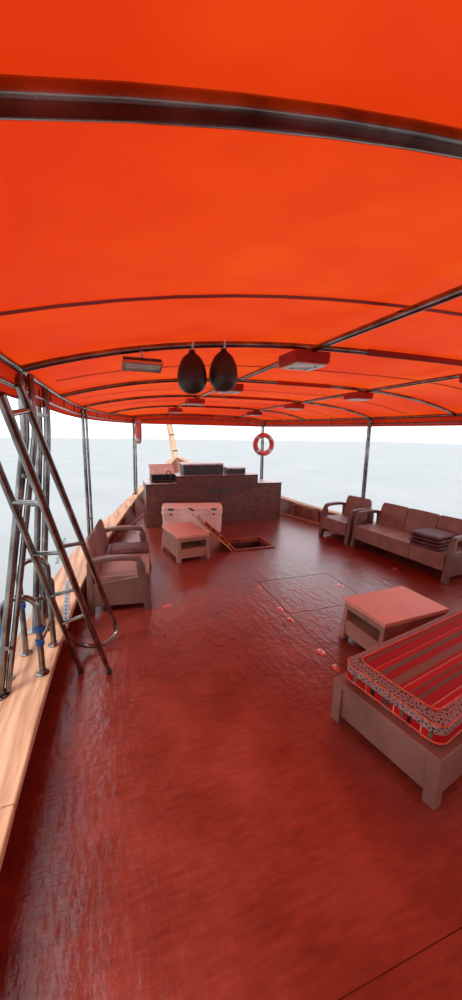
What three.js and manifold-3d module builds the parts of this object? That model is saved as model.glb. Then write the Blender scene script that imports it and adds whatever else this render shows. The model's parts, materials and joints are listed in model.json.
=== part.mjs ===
import * as THREE from 'three';
import { mergeVertices } from 'three/addons/utils/BufferGeometryUtils.js';
import Module from 'manifold-3d';

// A wooden passenger dhow: a planked hull with an open deck under a fabric awning.
// Millimetres. The origin is on the waterline amidships, +X is port, -Y is the bow and +Z is up.

const wasm = await Module();
wasm.setup();

// Driving dimensions of the hull
const GAP = 0.3;
const DECK_Z = 1300;
const DECK_THICK = 45;
const HULL_TOP = DECK_Z - DECK_THICK - GAP;
const HALF_BEAM = 3000;
const TRANSOM_HALF = 2300;
const FULLEST = 0.6;
const BOW_POWER = 2.65;
const HULL_STEPS = 22;
const HULL_LEVELS = 9;
const STEM_HALF = 75;
const STEM_DECK_Y = -7700;
const STEM_RAKE = 1.05;
const STEM_HEAD_Z = 3760;
const STEM_DEPTH = 300;
const TRANSOM_Y = 9800;
const TRANSOM_RAKE = 0.25;
const TRANSOM_THICK = 90;
const KEEL_Z = -1000;
const KEEL_FOOT_Z = -1260;
const SHOE_TOP_Z = -1120;
const BULWARK = 270;
const BULWARK_THICK = 80;
const DECK_SEAM = 16;
const BOW_RISE = 800;
const STERN_RISE = 770;
const CAP_THICK = 55;
const CAP_OUTER = 45;
const CAP_INNER = { port: 230, starboard: 60 };
const QUARTER_FRONT_Y = 5700;
const QUARTER_HEIGHT = 340;
const STEP = { width: 900, depth: 320, height: 170 };

// Steering and propeller
const RUDDER_Y = 10150;
const RUDDER_STOCK_R = 40;
const RUDDER_TOP = 860;
const PROPELLER = { y: 9985, z: -520, radius: 390, hub: 62, blades: 4, pitchDeg: 28 };
const HELM = { y: 6500, floor: DECK_Z + QUARTER_HEIGHT + 2 * GAP, axle: 900, radius: 340, spokes: 8 };

// Counter and galley
const COUNTER_Y = -3800;
const COUNTER_DEPTH = 600;
const COUNTER_STEPS = [
  // from x, to x, height
  [900, 1540, 915],
  [-940, 900, 1070],
  [-1540, -940, 875],
];
const STEP_TOP = DECK_Z + GAP + COUNTER_STEPS[0][2];
const COUNTER_TOP = DECK_Z + 2 * GAP + COUNTER_STEPS[1][2];
const HOOD = { from: 900, to: 1400, aft: -4040, fore: -4400, low: 180, high: 335, board: 20 };
const HOOD_SLOPE = Math.atan2(HOOD.high - HOOD.low, HOOD.aft - HOOD.fore);
const SINK = { x: 1150, y: -4150, width: 400, length: 340, depth: 260 };
const LID = { width: 520, thick: 22, barrel: 12.6, overhang: 25, play: 0.5 };
const FAUCET = { x: 1020, y: -3890, radius: 11, rise: 198, bend: 55, drop: 45 };

// Hatches
const OPEN_HATCH = { x: -110, y: -2220, width: 680, length: 540, depth: 900, rim: 45, rimHeight: 30 };
const FLUSH_HATCH = { x: -170, y: -200, width: 1100, length: 900, depth: 650 };
const COVER = { openDeg: 136, drop: 8, thick: 22, barrel: 12 };

// Awning
const FRAME_R = 20;
const RAIL_R = 22;
const POST_R = 24;
const FLANGE_R = 60;
const AWNING_EDGE = 2310;
const VALANCE = 150;
const FABRIC = 8;
const RUNNER_X = 890;
const ARCH_STEPS = 14;
const POST_BEND = 320;
const LIGHT = { side: 280, height: 80 };
const AWNING_STATIONS = [
  // y, half width, crown above deck
  [-5200, 1660, 2400],
  [-4000, 2200, 2520],
  [-2200, 2560, 2560],
  [-500, 2650, 2585],
  [1150, 2660, 2600],
  [2850, 2660, 2600],
  [4550, 2660, 2600],
  [6250, 2660, 2600],
  [7950, 2600, 2580],
  [9500, 2300, 2520],
];
const POST_STATIONS = [0, 2, 4, 6, 8];
const LIGHT_STATIONS = [1, 2, 3, 4, 5, 6, 7, 8];
const FENDER_BOW = AWNING_STATIONS[4];
const FENDER_XS = { fender_a: 1480, fender_b: 1690 };
const FENDER_PROFILE = [
  // radius, height from the top
  [0, -288],
  [30, -285],
  [70, -260],
  [98, -200],
  [92, -140],
  [60, -80],
  [16, -40],
  [12, 0],
  [0, 0],
];
const LAMP = { x: 2000, width: 240, length: 130, height: 70, stem: 40 };
const LIFEBUOY = { radius: 235, section: 65 };

// Deck furniture
const FLOOR = DECK_Z + GAP;
const CHEST = { width: 1190, length: 420, wall: 45, tub: 470, lid: 75, x: 680, y: -3340, turn: -11.6 };
const SEAT = { depth: 700, arm: 100, seatHeight: 400, seatThick: 130, back: 790, backThick: 110 };
const TABLE = { width: 785, length: 527, height: 420, top: 45, apron: 60, leg: 70, shelf: 130 };
const SETTEE = { width: 1900, length: 740, base: 320, cushion: 170, x: -215, y: 1806, turn: 12 };
const LADDER = {
  railRadius: 20,
  rungRadius: 13,
  inner: { foot: [2294, 682], head: [2600, 1842, 3419] },
  outer: { foot: [2515, 600], head: [2780, 1464, 3290] },
  hand: { low: [2233, 200, 1470], head: [2600, 1504, 3491] },
  bend: [[2225, 224, 1390], [2293, 287, 1352], [2408, 319, 1346], [2505, 345, 1385], [2545, 470, 1490]],
  bendSteps: 14,
  bendEnd: 0.25,
  rungs: [
    // rail, share along it, other rail, share along that
    ['outer', 0.3, 'inner', 0.36],
    ['outer', 0.44, 'inner', 0.48],
    ['outer', 0.62, 'inner', 0.62],
    ['outer', 0.8, 'inner', 0.77],
    ['inner', 0.64, 'hand', 0.51],
    ['inner', 0.965, 'hand', 0.945],
  ],
};
const GATE = {
  radius: 20,
  corner: 90,
  tieRadius: 12,
  tieHeight: 1850,
  across: { from: [2715, 1000], to: [2925, 1000], top: 2200 },
  along: { from: [2690, 660], to: [2870, 720], top: 2350 },
};
const BITTS = { y: -5650, half: 260, side: 130, height: 620, bar: 820 };

// Hull form: f runs from 0 at the stem to 1 at the transom.
function stemY(z) {
  return STEM_DECK_Y - STEM_RAKE * (z - DECK_Z);
}

function transomY(z) {
  return TRANSOM_Y + TRANSOM_RAKE * z;
}

function hullY(f, z) {
  return stemY(z) + f * (transomY(z) - stemY(z));
}

function stationAt(y, z) {
  return (y - stemY(z)) / (transomY(z) - stemY(z));
}

function sheerZ(f) {
  const bow = BOW_RISE * Math.max(0, (0.25 - f) / 0.25) ** 1.6;
  const stern = STERN_RISE * Math.max(0, (f - 0.68) / 0.32) ** 1.3;
  return DECK_Z + BULWARK + bow + stern;
}

function sheerHalf(f) {
  if (f < FULLEST) {
    return HALF_BEAM - (HALF_BEAM - STEM_HALF) * ((FULLEST - f) / FULLEST) ** BOW_POWER;
  }
  return HALF_BEAM - (HALF_BEAM - TRANSOM_HALF) * ((f - FULLEST) / (1 - FULLEST)) ** 2;
}

// The section is full amidships and slack towards both ends.
function hullX(f, z) {
  const rise = (z - KEEL_Z) / (sheerZ(f) - KEEL_Z);
  const atBow = 0.55 * Math.max(0, (0.45 - f) / 0.45) ** 1.5;
  const atStern = 1.1 * Math.max(0, (f - 0.6) / 0.4) ** 1.5;
  const fullness = (1 - (1 - Math.min(rise, 1)) ** 3.2) ** (0.62 + atBow + atStern);
  const keelHalf = STEM_HALF - 5;
  return keelHalf + (sheerHalf(f) - keelHalf) * fullness;
}

function halfBreadth(y, z) {
  return hullX(stationAt(y, z), z);
}

function hullStations() {
  return Array.from({ length: HULL_STEPS + 1 }, (_, k) => {
    const t = k / HULL_STEPS;
    return 0.45 * t * t + 0.55 * t;
  });
}

// The bulwark's top edge, which is straight between stations.
function sheerAt(y) {
  const line = hullStations().map((f) => [hullY(f, sheerZ(f)), sheerZ(f)]);
  const next = Math.max(1, line.findIndex(([at]) => at > y));
  const [from, to] = [line[next - 1], line[next]];
  return from[1] + ((to[1] - from[1]) * (y - from[0])) / (to[0] - from[0]);
}

function capTop(y) {
  return sheerAt(y) + CAP_THICK + 2 * GAP;
}

// Geometry helpers
class StationCurve extends THREE.Curve {
  constructor(points) {
    super();
    this.points = points.map((p) => new THREE.Vector3(...p));
  }

  getPoint(t, target = new THREE.Vector3()) {
    const place = Math.min(Math.max(t, 0), 1) * (this.points.length - 1);
    const from = Math.min(Math.floor(place), this.points.length - 2);
    return target.copy(this.points[from]).lerp(this.points[from + 1], place - from);
  }

  getPointAt(u, target) {
    return this.getPoint(u, target);
  }

  getTangentAt(u, target) {
    return this.getTangent(u, target);
  }
}

function circle(radius, sides) {
  const points = Array.from({ length: sides }, (_, k) => {
    const angle = (2 * Math.PI * k) / sides;
    return new THREE.Vector2(radius * Math.cos(angle), radius * Math.sin(angle));
  });
  return new THREE.Shape(points);
}

function tube(points, radius, sides = 8) {
  return new THREE.ExtrudeGeometry(circle(radius, sides), {
    steps: points.length - 1,
    bevelEnabled: false,
    extrudePath: new StationCurve(points),
  });
}

// Points along a smooth curve through a few given ones.
function smooth(points, steps) {
  const curve = new THREE.CatmullRomCurve3(points.map((p) => new THREE.Vector3(...p)));
  return curve.getPoints(steps).map((p) => p.toArray());
}

function between(from, to, share) {
  return from.map((value, n) => value + (to[n] - value) * share);
}

// A ring about the Y axis: its section is a circle that closes on itself.
function ringAboutY(radius, sectionRadius, sides, segments) {
  const profile = Array.from({ length: sides + 1 }, (_, k) => {
    const angle = (2 * Math.PI * (k % sides)) / sides;
    return new THREE.Vector2(radius + sectionRadius * Math.cos(angle), sectionRadius * Math.sin(angle));
  });
  return new THREE.LatheGeometry(profile, segments);
}

// A box whose foot is centred on x, y, z.
function box(width, length, height, x, y, z) {
  return new THREE.BoxGeometry(width, length, height).translate(x, y, z + height / 2);
}

function cylinderZ(radius, height, x, y, z, sides = 16) {
  return new THREE.CylinderGeometry(radius, radius, height, sides)
    .rotateX(Math.PI / 2)
    .translate(x, y, z + height / 2);
}

function cylinderY(radius, length, x, y, z, sides = 16) {
  return new THREE.CylinderGeometry(radius, radius, length, sides).translate(x, y + length / 2, z);
}

// Extrudes an outline along an axis: its points are (y, z) along x, and (x, z) along y.
function prism(outline, along, from, to) {
  const shape = new THREE.Shape(outline.map((p) => new THREE.Vector2(...p)));
  const geometry = new THREE.ExtrudeGeometry(shape, { depth: to - from, bevelEnabled: false });
  const axes = {
    x: [new THREE.Vector3(0, 1, 0), new THREE.Vector3(0, 0, 1), new THREE.Vector3(1, 0, 0)],
    y: [new THREE.Vector3(1, 0, 0), new THREE.Vector3(0, 0, 1), new THREE.Vector3(0, -1, 0)],
  }[along];
  geometry.applyMatrix4(new THREE.Matrix4().makeBasis(...axes));
  return along === 'x' ? geometry.translate(from, 0, 0) : geometry.translate(0, to, 0);
}

function facingOut(geometry) {
  const p = geometry.getAttribute('position');
  const order = geometry.getIndex().array;
  const corners = [new THREE.Vector3(), new THREE.Vector3(), new THREE.Vector3()];
  let volume = 0;
  for (let k = 0; k < order.length; k += 3) {
    corners.forEach((corner, n) => corner.fromBufferAttribute(p, order[k + n]));
    volume += corners[0].dot(corners[1].clone().cross(corners[2])) / 6;
  }
  if (volume < 0) {
    for (let k = 0; k < order.length; k += 3) {
      [order[k], order[k + 1]] = [order[k + 1], order[k]];
    }
  }
  return geometry;
}

// Skins a row of rings with the same number of points and closes both ends.
// flat names the two coordinates in which the end rings are flat outlines.
function loft(rings, flat) {
  const count = rings[0].length;
  const index = [];
  for (let r = 0; r < rings.length - 1; r += 1) {
    for (let k = 0; k < count; k += 1) {
      const a = r * count + k;
      const b = r * count + ((k + 1) % count);
      index.push(a, b, b + count, a, b + count, a + count);
    }
  }
  const last = (rings.length - 1) * count;
  for (const [ring, start, reverse] of [[rings[0], 0, true], [rings.at(-1), last, false]]) {
    const outline = ring.map((p) => new THREE.Vector2(p[flat[0]], p[flat[1]]));
    const turn = Math.sign(THREE.ShapeUtils.area(outline));
    for (const face of THREE.ShapeUtils.triangulateShape(outline.slice(), [])) {
      const same = Math.sign(THREE.ShapeUtils.area(face.map((k) => outline[k]))) === turn;
      const order = same === reverse ? face.toReversed() : face;
      index.push(...order.map((k) => start + k));
    }
  }
  const geometry = new THREE.BufferGeometry();
  geometry.setAttribute('position', new THREE.Float32BufferAttribute(rings.flat(2), 3));
  geometry.setIndex(index);
  return facingOut(geometry);
}

// Joining and cutting
function solidOf(geometry) {
  const bare = geometry.clone();
  bare.deleteAttribute('normal');
  bare.deleteAttribute('uv');
  const merged = mergeVertices(bare, 1e-3);
  return new wasm.Manifold(new wasm.Mesh({
    numProp: 3,
    vertProperties: new Float32Array(merged.getAttribute('position').array),
    triVerts: new Uint32Array(merged.getIndex().array),
  }));
}

function geometryOf(solid) {
  const mesh = solid.getMesh();
  const geometry = new THREE.BufferGeometry();
  geometry.setAttribute('position', new THREE.BufferAttribute(mesh.vertProperties, 3));
  geometry.setIndex(new THREE.BufferAttribute(mesh.triVerts, 1));
  return geometry;
}

function join(...pieces) {
  return geometryOf(pieces.map(solidOf).reduce((whole, piece) => whole.add(piece)));
}

function cut(piece, ...tools) {
  return geometryOf(tools.map(solidOf).reduce((whole, tool) => whole.subtract(tool), solidOf(piece)));
}

// Materials
function material(color, roughness, metalness = 0) {
  return () => new THREE.MeshStandardMaterial({ color, roughness, metalness });
}

const hullTimber = material(0x7a4a2a, 0.6);
const lightTimber = material(0xb98f66, 0.65);
const deckPaint = material(0x8a3a2c, 0.35);
const counterPaint = material(0x6a3432, 0.55);
const whitePaint = material(0xd9d4cc, 0.5);
const awningCloth = material(0xd23a14, 0.8);
const steel = material(0xb9bcbe, 0.25, 0.9);
const ironPaint = material(0x2b2a2c, 0.6, 0.3);
const bronze = material(0xa37a3c, 0.35, 0.9);
const ringRed = material(0xc8321e, 0.5);
const fenderBlack = material(0x1d1b1c, 0.5);
const rattan = material(0x8b6a5e, 0.6);
const chestWhite = material(0xd8c0ba, 0.5);
const darkBox = material(0x2c3036, 0.5);
const wovenCloth = material(0xa8242c, 0.9);
const darkVinyl = material(0x3d2626, 0.5);

const boat = new THREE.Group();
const SIDES = { port: 1, starboard: -1 };

function add(name, geometry, paint, place = {}) {
  const mesh = new THREE.Mesh(geometry, paint());
  mesh.name = name;
  mesh.position.set(place.x ?? 0, place.y ?? 0, place.z ?? 0);
  mesh.rotation.z = THREE.MathUtils.degToRad(place.turn ?? 0);
  boat.add(mesh);
}

// Hull, stem, keel and sternpost
function hatchWell(hatch) {
  const ledge = 30;
  const height = hatch.depth + 100;
  const foot = HULL_TOP - hatch.depth;
  return box(hatch.width - 2 * ledge, hatch.length - 2 * ledge, height, hatch.x, hatch.y, foot);
}

function hullBody() {
  const rings = hullStations().map((f) => {
    const side = Array.from({ length: HULL_LEVELS }, (_, k) => {
      const z = KEEL_Z + (HULL_TOP - KEEL_Z) * (k / (HULL_LEVELS - 1)) ** 1.2;
      return [hullX(f, z), hullY(f, z), z];
    });
    return [...side, ...side.toReversed().map(([x, y, z]) => [-x, y, z])];
  });
  return cut(loft(rings, [0, 2]), hatchWell(OPEN_HATCH), hatchWell(FLUSH_HATCH));
}

function stemPost() {
  const foot = [stemY(KEEL_Z) - GAP, KEEL_Z];
  const head = [stemY(STEM_HEAD_Z) - GAP, STEM_HEAD_Z];
  const lean = Math.hypot(1, STEM_RAKE) * STEM_DEPTH;
  return prism([
    foot,
    head,
    [head[0] - lean * 0.8, head[1]],
    [head[0] - lean, head[1] - 150],
    [stemY(KEEL_Z + 300) - lean, KEEL_Z + 300],
    [foot[0] - lean * 1.15, KEEL_Z - 50],
    [foot[0] - lean * 0.6, KEEL_Z - 220],
    [foot[0], KEEL_FOOT_Z],
  ], 'x', -STEM_HALF, STEM_HALF);
}

// The keel runs aft past the transom as a shoe under the rudder.
function keelTimber() {
  const fore = stemY(KEEL_Z);
  const aft = transomY(SHOE_TOP_Z);
  return prism([
    [fore, KEEL_FOOT_Z],
    [fore, KEEL_Z - GAP],
    [aft, KEEL_Z - GAP],
    [aft, SHOE_TOP_Z],
    [RUDDER_Y + 90, SHOE_TOP_Z],
    [RUDDER_Y + 60, KEEL_FOOT_Z],
  ], 'x', -STEM_HALF, STEM_HALF);
}

// The sternpost carries the propeller's bearing and the rudder's upper bracket.
function sternPost() {
  const foot = SHOE_TOP_Z + GAP;
  const top = 760;
  const depth = 150;
  const post = prism([
    [transomY(foot) + GAP, foot],
    [transomY(top) + GAP, top],
    [transomY(top) + depth, top],
    [transomY(foot) + depth, foot],
  ], 'x', -STEM_HALF, STEM_HALF);
  const bearing = cylinderY(70, 200, 0, PROPELLER.y - 260, PROPELLER.z, 12);
  const bracket = box(150, 245, 90, 0, RUDDER_Y - 40, 620);
  const socket = cylinderZ(RUDDER_STOCK_R + 1.5, 200, 0, RUDDER_Y, 560);
  return cut(join(post, bearing, bracket), socket);
}

add('hull', hullBody(), hullTimber);
add('stem_post', stemPost(), lightTimber);
add('keel', keelTimber(), hullTimber);
add('stern_post', sternPost(), hullTimber);

// Deck
function deckPlate() {
  const low = DECK_Z - DECK_THICK;
  const fore = STEM_DECK_Y + 250;
  const aft = transomY(low) - TRANSOM_THICK - 2;
  const steps = 16;
  const rings = Array.from({ length: steps + 1 }, (_, k) => {
    const y = fore + (aft - fore) * (k / steps) ** 1.15;
    const half = halfBreadth(y, low) - BULWARK_THICK - DECK_SEAM;
    return [[half, y, low], [half, y, DECK_Z], [-half, y, DECK_Z], [-half, y, low]];
  });
  const holes = [OPEN_HATCH, FLUSH_HATCH].map((hatch) => (
    box(hatch.width, hatch.length, 200, hatch.x, hatch.y, DECK_Z - 100)
  ));
  return cut(loft(rings, [0, 2]), ...holes);
}

function quarterdeck() {
  const low = DECK_Z + GAP;
  const top = low + QUARTER_HEIGHT;
  const aft = transomY(DECK_Z) - TRANSOM_THICK - 5;
  const steps = 10;
  const rings = Array.from({ length: steps + 1 }, (_, k) => {
    const y = QUARTER_FRONT_Y + (aft - QUARTER_FRONT_Y) * (k / steps);
    const half = halfBreadth(y, DECK_Z) - BULWARK_THICK - 2 * DECK_SEAM;
    return [[half, y, low], [half, y, top], [-half, y, top], [-half, y, low]];
  });
  const step = box(STEP.width, STEP.depth, STEP.height, 0, QUARTER_FRONT_Y - 150, low);
  return join(loft(rings, [0, 2]), step);
}

add('deck', deckPlate(), deckPaint);
add('quarterdeck', quarterdeck(), deckPaint);

// Bulwarks and cap rails
function bulwark(side) {
  const low = HULL_TOP + GAP;
  const rings = hullStations().map((f) => {
    const high = sheerZ(f);
    const outer = [hullX(f, low), hullX(f, high)];
    const inner = outer.map((x) => Math.max(x - BULWARK_THICK, 8));
    return [
      [side * outer[0], hullY(f, low), low],
      [side * outer[1], hullY(f, high), high],
      [side * inner[1], hullY(f, high), high],
      [side * inner[0], hullY(f, low), low],
    ];
  });
  return loft(rings, [0, 2]);
}

// The cap's inner overhang is full over the open deck and fades towards both ends.
function capRail(side, overhang) {
  const rings = hullStations().map((f) => {
    const low = sheerZ(f) + GAP;
    const y = hullY(f, sheerZ(f));
    const outer = hullX(f, sheerZ(f));
    const fade = Math.min(1, Math.max(0, (f - 0.16) / 0.14), Math.max(0, (0.86 - f) / 0.1));
    const lip = CAP_INNER.starboard + (overhang - CAP_INNER.starboard) * fade;
    const inner = Math.max(outer - BULWARK_THICK - lip, 8);
    return [
      [side * (outer + CAP_OUTER), y, low],
      [side * (outer + CAP_OUTER), y, low + CAP_THICK],
      [side * inner, y, low + CAP_THICK],
      [side * inner, y, low],
    ];
  });
  return loft(rings, [0, 2]);
}

function transomBoard() {
  const low = HULL_TOP + GAP;
  const high = sheerZ(1);
  const halfLow = hullX(1, low) - BULWARK_THICK - DECK_SEAM;
  const halfHigh = hullX(1, high) - BULWARK_THICK - CAP_INNER.starboard - 6;
  const ring = (back) => [
    [halfLow, transomY(low) - back, low],
    [halfHigh, transomY(high) - back, high],
    [-halfHigh, transomY(high) - back, high],
    [-halfLow, transomY(low) - back, low],
  ];
  return loft([ring(TRANSOM_THICK), ring(0)], [0, 2]);
}

function taffrail() {
  const low = sheerZ(1) + GAP;
  const y = transomY(sheerZ(1)) - TRANSOM_THICK / 2;
  const half = hullX(1, sheerZ(1)) - BULWARK_THICK - CAP_INNER.starboard - 6;
  return box(2 * half, TRANSOM_THICK + 90, CAP_THICK, 0, y, low);
}

for (const [name, side] of Object.entries(SIDES)) {
  add(`bulwark_${name}`, bulwark(side), hullTimber);
  add(`cap_rail_${name}`, capRail(side, CAP_INNER[name]), lightTimber);
}
add('transom_board', transomBoard(), hullTimber);
add('taffrail', taffrail(), lightTimber);

// Rudder, propeller and steering wheel
function rudder() {
  const half = 35;
  const foot = SHOE_TOP_Z + 40;
  const blade = prism([
    [RUDDER_Y, foot],
    [RUDDER_Y, 540],
    [RUDDER_Y + 560, 520],
    [RUDDER_Y + 900, -200],
    [RUDDER_Y + 940, foot],
  ], 'x', -half, half);
  const stockFoot = SHOE_TOP_Z + 0.5;
  return join(blade, cylinderZ(RUDDER_STOCK_R, RUDDER_TOP - stockFoot, 0, RUDDER_Y, stockFoot));
}

function propeller() {
  const { y, z, radius, hub, blades, pitchDeg } = PROPELLER;
  const root = hub - 22;
  const pieces = [cylinderY(hub, 120, 0, y - 59.4, z, 12)];
  for (let k = 0; k < blades; k += 1) {
    pieces.push(new THREE.BoxGeometry(210, 24, radius - root)
      .translate(0, 0, (radius + root) / 2)
      .rotateZ(THREE.MathUtils.degToRad(pitchDeg))
      .rotateY((2 * Math.PI * (k + 0.5)) / blades)
      .translate(0, y, z));
  }
  return join(...pieces);
}

function helmStand() {
  const half = 260;
  const body = prism([
    [HELM.y - 220, HELM.floor],
    [HELM.y - 180, HELM.floor + 1020],
    [HELM.y + 120, HELM.floor + 1120],
    [HELM.y + 180, HELM.floor],
  ], 'x', -half, half);
  const boss = cylinderY(70, 150, 0, HELM.y + 60, HELM.floor + HELM.axle, 12);
  return join(body, boss);
}

function helmWheel() {
  const hubLength = 60;
  const handle = 110;
  const middle = HELM.y + 210.6 + hubLength / 2;
  const pieces = [ringAboutY(HELM.radius, 24, 8, 24), cylinderY(55, hubLength, 0, -hubLength / 2, 0, 12)];
  for (let k = 0; k < HELM.spokes; k += 1) {
    pieces.push(new THREE.CylinderGeometry(14, 14, HELM.radius + handle, 6)
      .translate(0, (HELM.radius + handle) / 2 + 20, 0)
      .rotateX(Math.PI / 2)
      .rotateY((2 * Math.PI * k) / HELM.spokes));
  }
  return join(...pieces).translate(0, middle, HELM.floor + HELM.axle);
}

add('rudder', rudder(), hullTimber);
add('propeller', propeller(), bronze);
add('helm_stand', helmStand(), counterPaint);
add('helm_wheel', helmWheel(), lightTimber);

// Counter forward, with a sink under a sloping hood
function hoodTop(y) {
  return STEP_TOP + HOOD.low + (HOOD.aft - y) * Math.tan(HOOD_SLOPE);
}

// An upright board of the hood, from its fore edge aft to y.
function hoodBoard(y, from, to) {
  const foot = STEP_TOP - 1;
  return prism([
    [y, foot],
    [y, hoodTop(y)],
    [HOOD.fore, hoodTop(HOOD.fore)],
    [HOOD.fore, foot],
  ], 'x', from, to);
}

function counter() {
  const blocks = COUNTER_STEPS.map(([from, to, height]) => (
    box(to - from, COUNTER_DEPTH, height, (from + to) / 2, COUNTER_Y - COUNTER_DEPTH / 2, DECK_Z + GAP)
  ));
  const bowl = box(SINK.width, SINK.length, SINK.depth + 100, SINK.x, SINK.y, STEP_TOP - SINK.depth);
  return join(
    cut(join(...blocks), bowl),
    hoodBoard(HOOD.aft, HOOD.from, HOOD.from + HOOD.board),
    hoodBoard(HOOD.aft, HOOD.to - HOOD.board, HOOD.to),
    hoodBoard(HOOD.fore + HOOD.board, HOOD.from, HOOD.to),
  );
}

// The lid lies on the hood and turns on a barrel above the hood's fore edge.
function sinkLid() {
  const { width, thick, barrel, overhang, play } = LID;
  const lift = barrel + play;
  const long = (HOOD.aft - HOOD.fore) / Math.cos(HOOD_SLOPE) + overhang;
  const board = new THREE.BoxGeometry(width, long, thick).translate(0, long / 2, thick / 2 - barrel);
  const roll = new THREE.CylinderGeometry(barrel, barrel, width, 16).rotateZ(Math.PI / 2);
  return join(board, roll).rotateX(-HOOD_SLOPE).translate(
    HOOD.from + GAP + width / 2,
    HOOD.fore + lift * Math.sin(HOOD_SLOPE),
    hoodTop(HOOD.fore) + lift * Math.cos(HOOD_SLOPE),
  );
}

function faucet() {
  const { x, y, radius, rise, bend, drop } = FAUCET;
  const low = STEP_TOP + GAP;
  const way = [0.63, -0.77];
  const steps = 6;
  const arc = Array.from({ length: steps + 1 }, (_, k) => {
    const angle = (Math.PI * k) / steps;
    const reach = bend * (1 - Math.cos(angle));
    return [x + way[0] * reach, y + way[1] * reach, low + rise + bend * Math.sin(angle)];
  });
  const [endX, endY, endZ] = arc.at(-1);
  return tube([[x, y, low], ...arc, [endX, endY, endZ - drop]], radius);
}

add('counter', counter(), counterPaint);
add('sink_lid', sinkLid(), whitePaint);
add('sink_faucet', faucet(), ironPaint);
add('counter_chest', box(900, 420, 250, 300, COUNTER_Y - 300, COUNTER_TOP), darkBox);
add('counter_box', box(430, 380, 150, -470, COUNTER_Y - 300, COUNTER_TOP), darkBox);

// Hatches
function hatchCoaming() {
  const { x, y, width, length, rim, rimHeight } = OPEN_HATCH;
  const outer = box(width + 2 * rim, length + 2 * rim, rimHeight, x, y, DECK_Z + GAP);
  return cut(outer, box(width, length, 200, x, y, DECK_Z - 50));
}

// The cover stands open beside the hatch, on barrels along its coaming.
function hatchCover() {
  const { x, y, width, length, rim, rimHeight } = OPEN_HATCH;
  const wide = width + 2 * rim;
  const long = length + 2 * rim;
  const middle = -wide / 2 - COVER.barrel;
  const panel = box(wide, long, COVER.thick, middle, 0, COVER.drop + 1);
  const battens = [-1, 0, 1].map((k) => box(width - 20, 45, 40, middle, (k * length) / 3, COVER.drop - 38));
  const hinges = [-1, 1].flatMap((k) => [
    cylinderY(COVER.barrel - 0.4, 90, 0, (k * length) / 3 - 45, 0, 12),
    box(90, 70, 8, -45, (k * length) / 3, COVER.drop + 1.5),
  ]);
  return join(panel, ...battens, ...hinges)
    .rotateY(THREE.MathUtils.degToRad(COVER.openDeg))
    .translate(x + wide / 2 + COVER.barrel, y, DECK_Z + GAP + rimHeight - COVER.drop);
}

function flushLid() {
  const { x, y, width, length } = FLUSH_HATCH;
  const play = 12;
  return box(width - play, length - play, DECK_THICK - GAP, x, y, DECK_Z - DECK_THICK + GAP);
}

add('hatch_coaming', hatchCoaming(), lightTimber);
add('hatch_cover', hatchCover(), deckPaint);
add('flush_hatch_lid', flushLid(), deckPaint);

// Awning frame, canopy, runners and posts
function archZ(x, half, crown) {
  return DECK_Z + AWNING_EDGE + (crown - AWNING_EDGE) * (1 - Math.abs(x / half) ** 3);
}

function archSlope(x, half, crown) {
  return (3 * (crown - AWNING_EDGE) * Math.abs(x / half) ** 2) / half;
}

function archXs(half) {
  return Array.from({ length: ARCH_STEPS + 1 }, (_, k) => half * (1 - (2 * k) / ARCH_STEPS));
}

function awningFrame() {
  const bows = AWNING_STATIONS.map(([y, half, crown]) => (
    tube(archXs(half).map((x) => [x, y, archZ(x, half, crown)]), FRAME_R)
  ));
  const rails = Object.values(SIDES).map((side) => (
    tube(AWNING_STATIONS.map(([y, half]) => [side * half, y, DECK_Z + AWNING_EDGE]), RAIL_R)
  ));
  return join(...bows, ...rails);
}

function canopyRing(y, half, crown) {
  const edge = DECK_Z + AWNING_EDGE;
  const side = half + RAIL_R + 7;
  const shoulder = edge + RAIL_R + 3;
  const lower = archXs(half).map((x) => (
    [x, archZ(x, half, crown) + FRAME_R * Math.hypot(1, archSlope(x, half, crown)) + 0.6]
  ));
  lower[0][1] = shoulder;
  lower.at(-1)[1] = shoulder;
  const inner = [
    [side, edge - VALANCE],
    [side, shoulder],
    ...lower,
    [-side, shoulder],
    [-side, edge - VALANCE],
  ];
  const outer = [
    [side + FABRIC, edge - VALANCE],
    [side + FABRIC, shoulder + FABRIC],
    ...lower.map(([x, z]) => [x, z + FABRIC]),
    [-side - FABRIC, shoulder + FABRIC],
    [-side - FABRIC, edge - VALANCE],
  ];
  return [...inner, ...outer.toReversed()].map(([x, z]) => [x, y, z]);
}

function canopyEnd(station, from, to) {
  const ring = canopyRing(...station);
  return prism(ring.slice(ring.length / 2).map(([x, , z]) => [x, z]), 'y', from, to);
}

function canopy() {
  const first = AWNING_STATIONS[0];
  const last = AWNING_STATIONS.at(-1);
  const reach = 60;
  const fore = first[0] - reach;
  const aft = last[0] + reach;
  const rings = [[fore, ...first.slice(1)], ...AWNING_STATIONS, [aft, ...last.slice(1)]];
  return join(
    loft(rings.map((station) => canopyRing(...station)), [0, 2]),
    canopyEnd(first, fore - FABRIC, fore + 1),
    canopyEnd(last, aft - 1, aft + FABRIC),
  );
}

// A tube under the bows that carries the downlights.
function runner(side) {
  const line = AWNING_STATIONS.map(([y, half, crown]) => (
    [side * RUNNER_X, y, archZ(RUNNER_X, half, crown) - 2 * FRAME_R * 1.03 - GAP]
  ));
  const lights = LIGHT_STATIONS.map((n) => {
    const [x, y, z] = line[n];
    return box(LIGHT.side, LIGHT.side, LIGHT.height, x, y, z - LIGHT.height - 4);
  });
  return join(tube(line, FRAME_R), ...lights);
}

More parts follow.
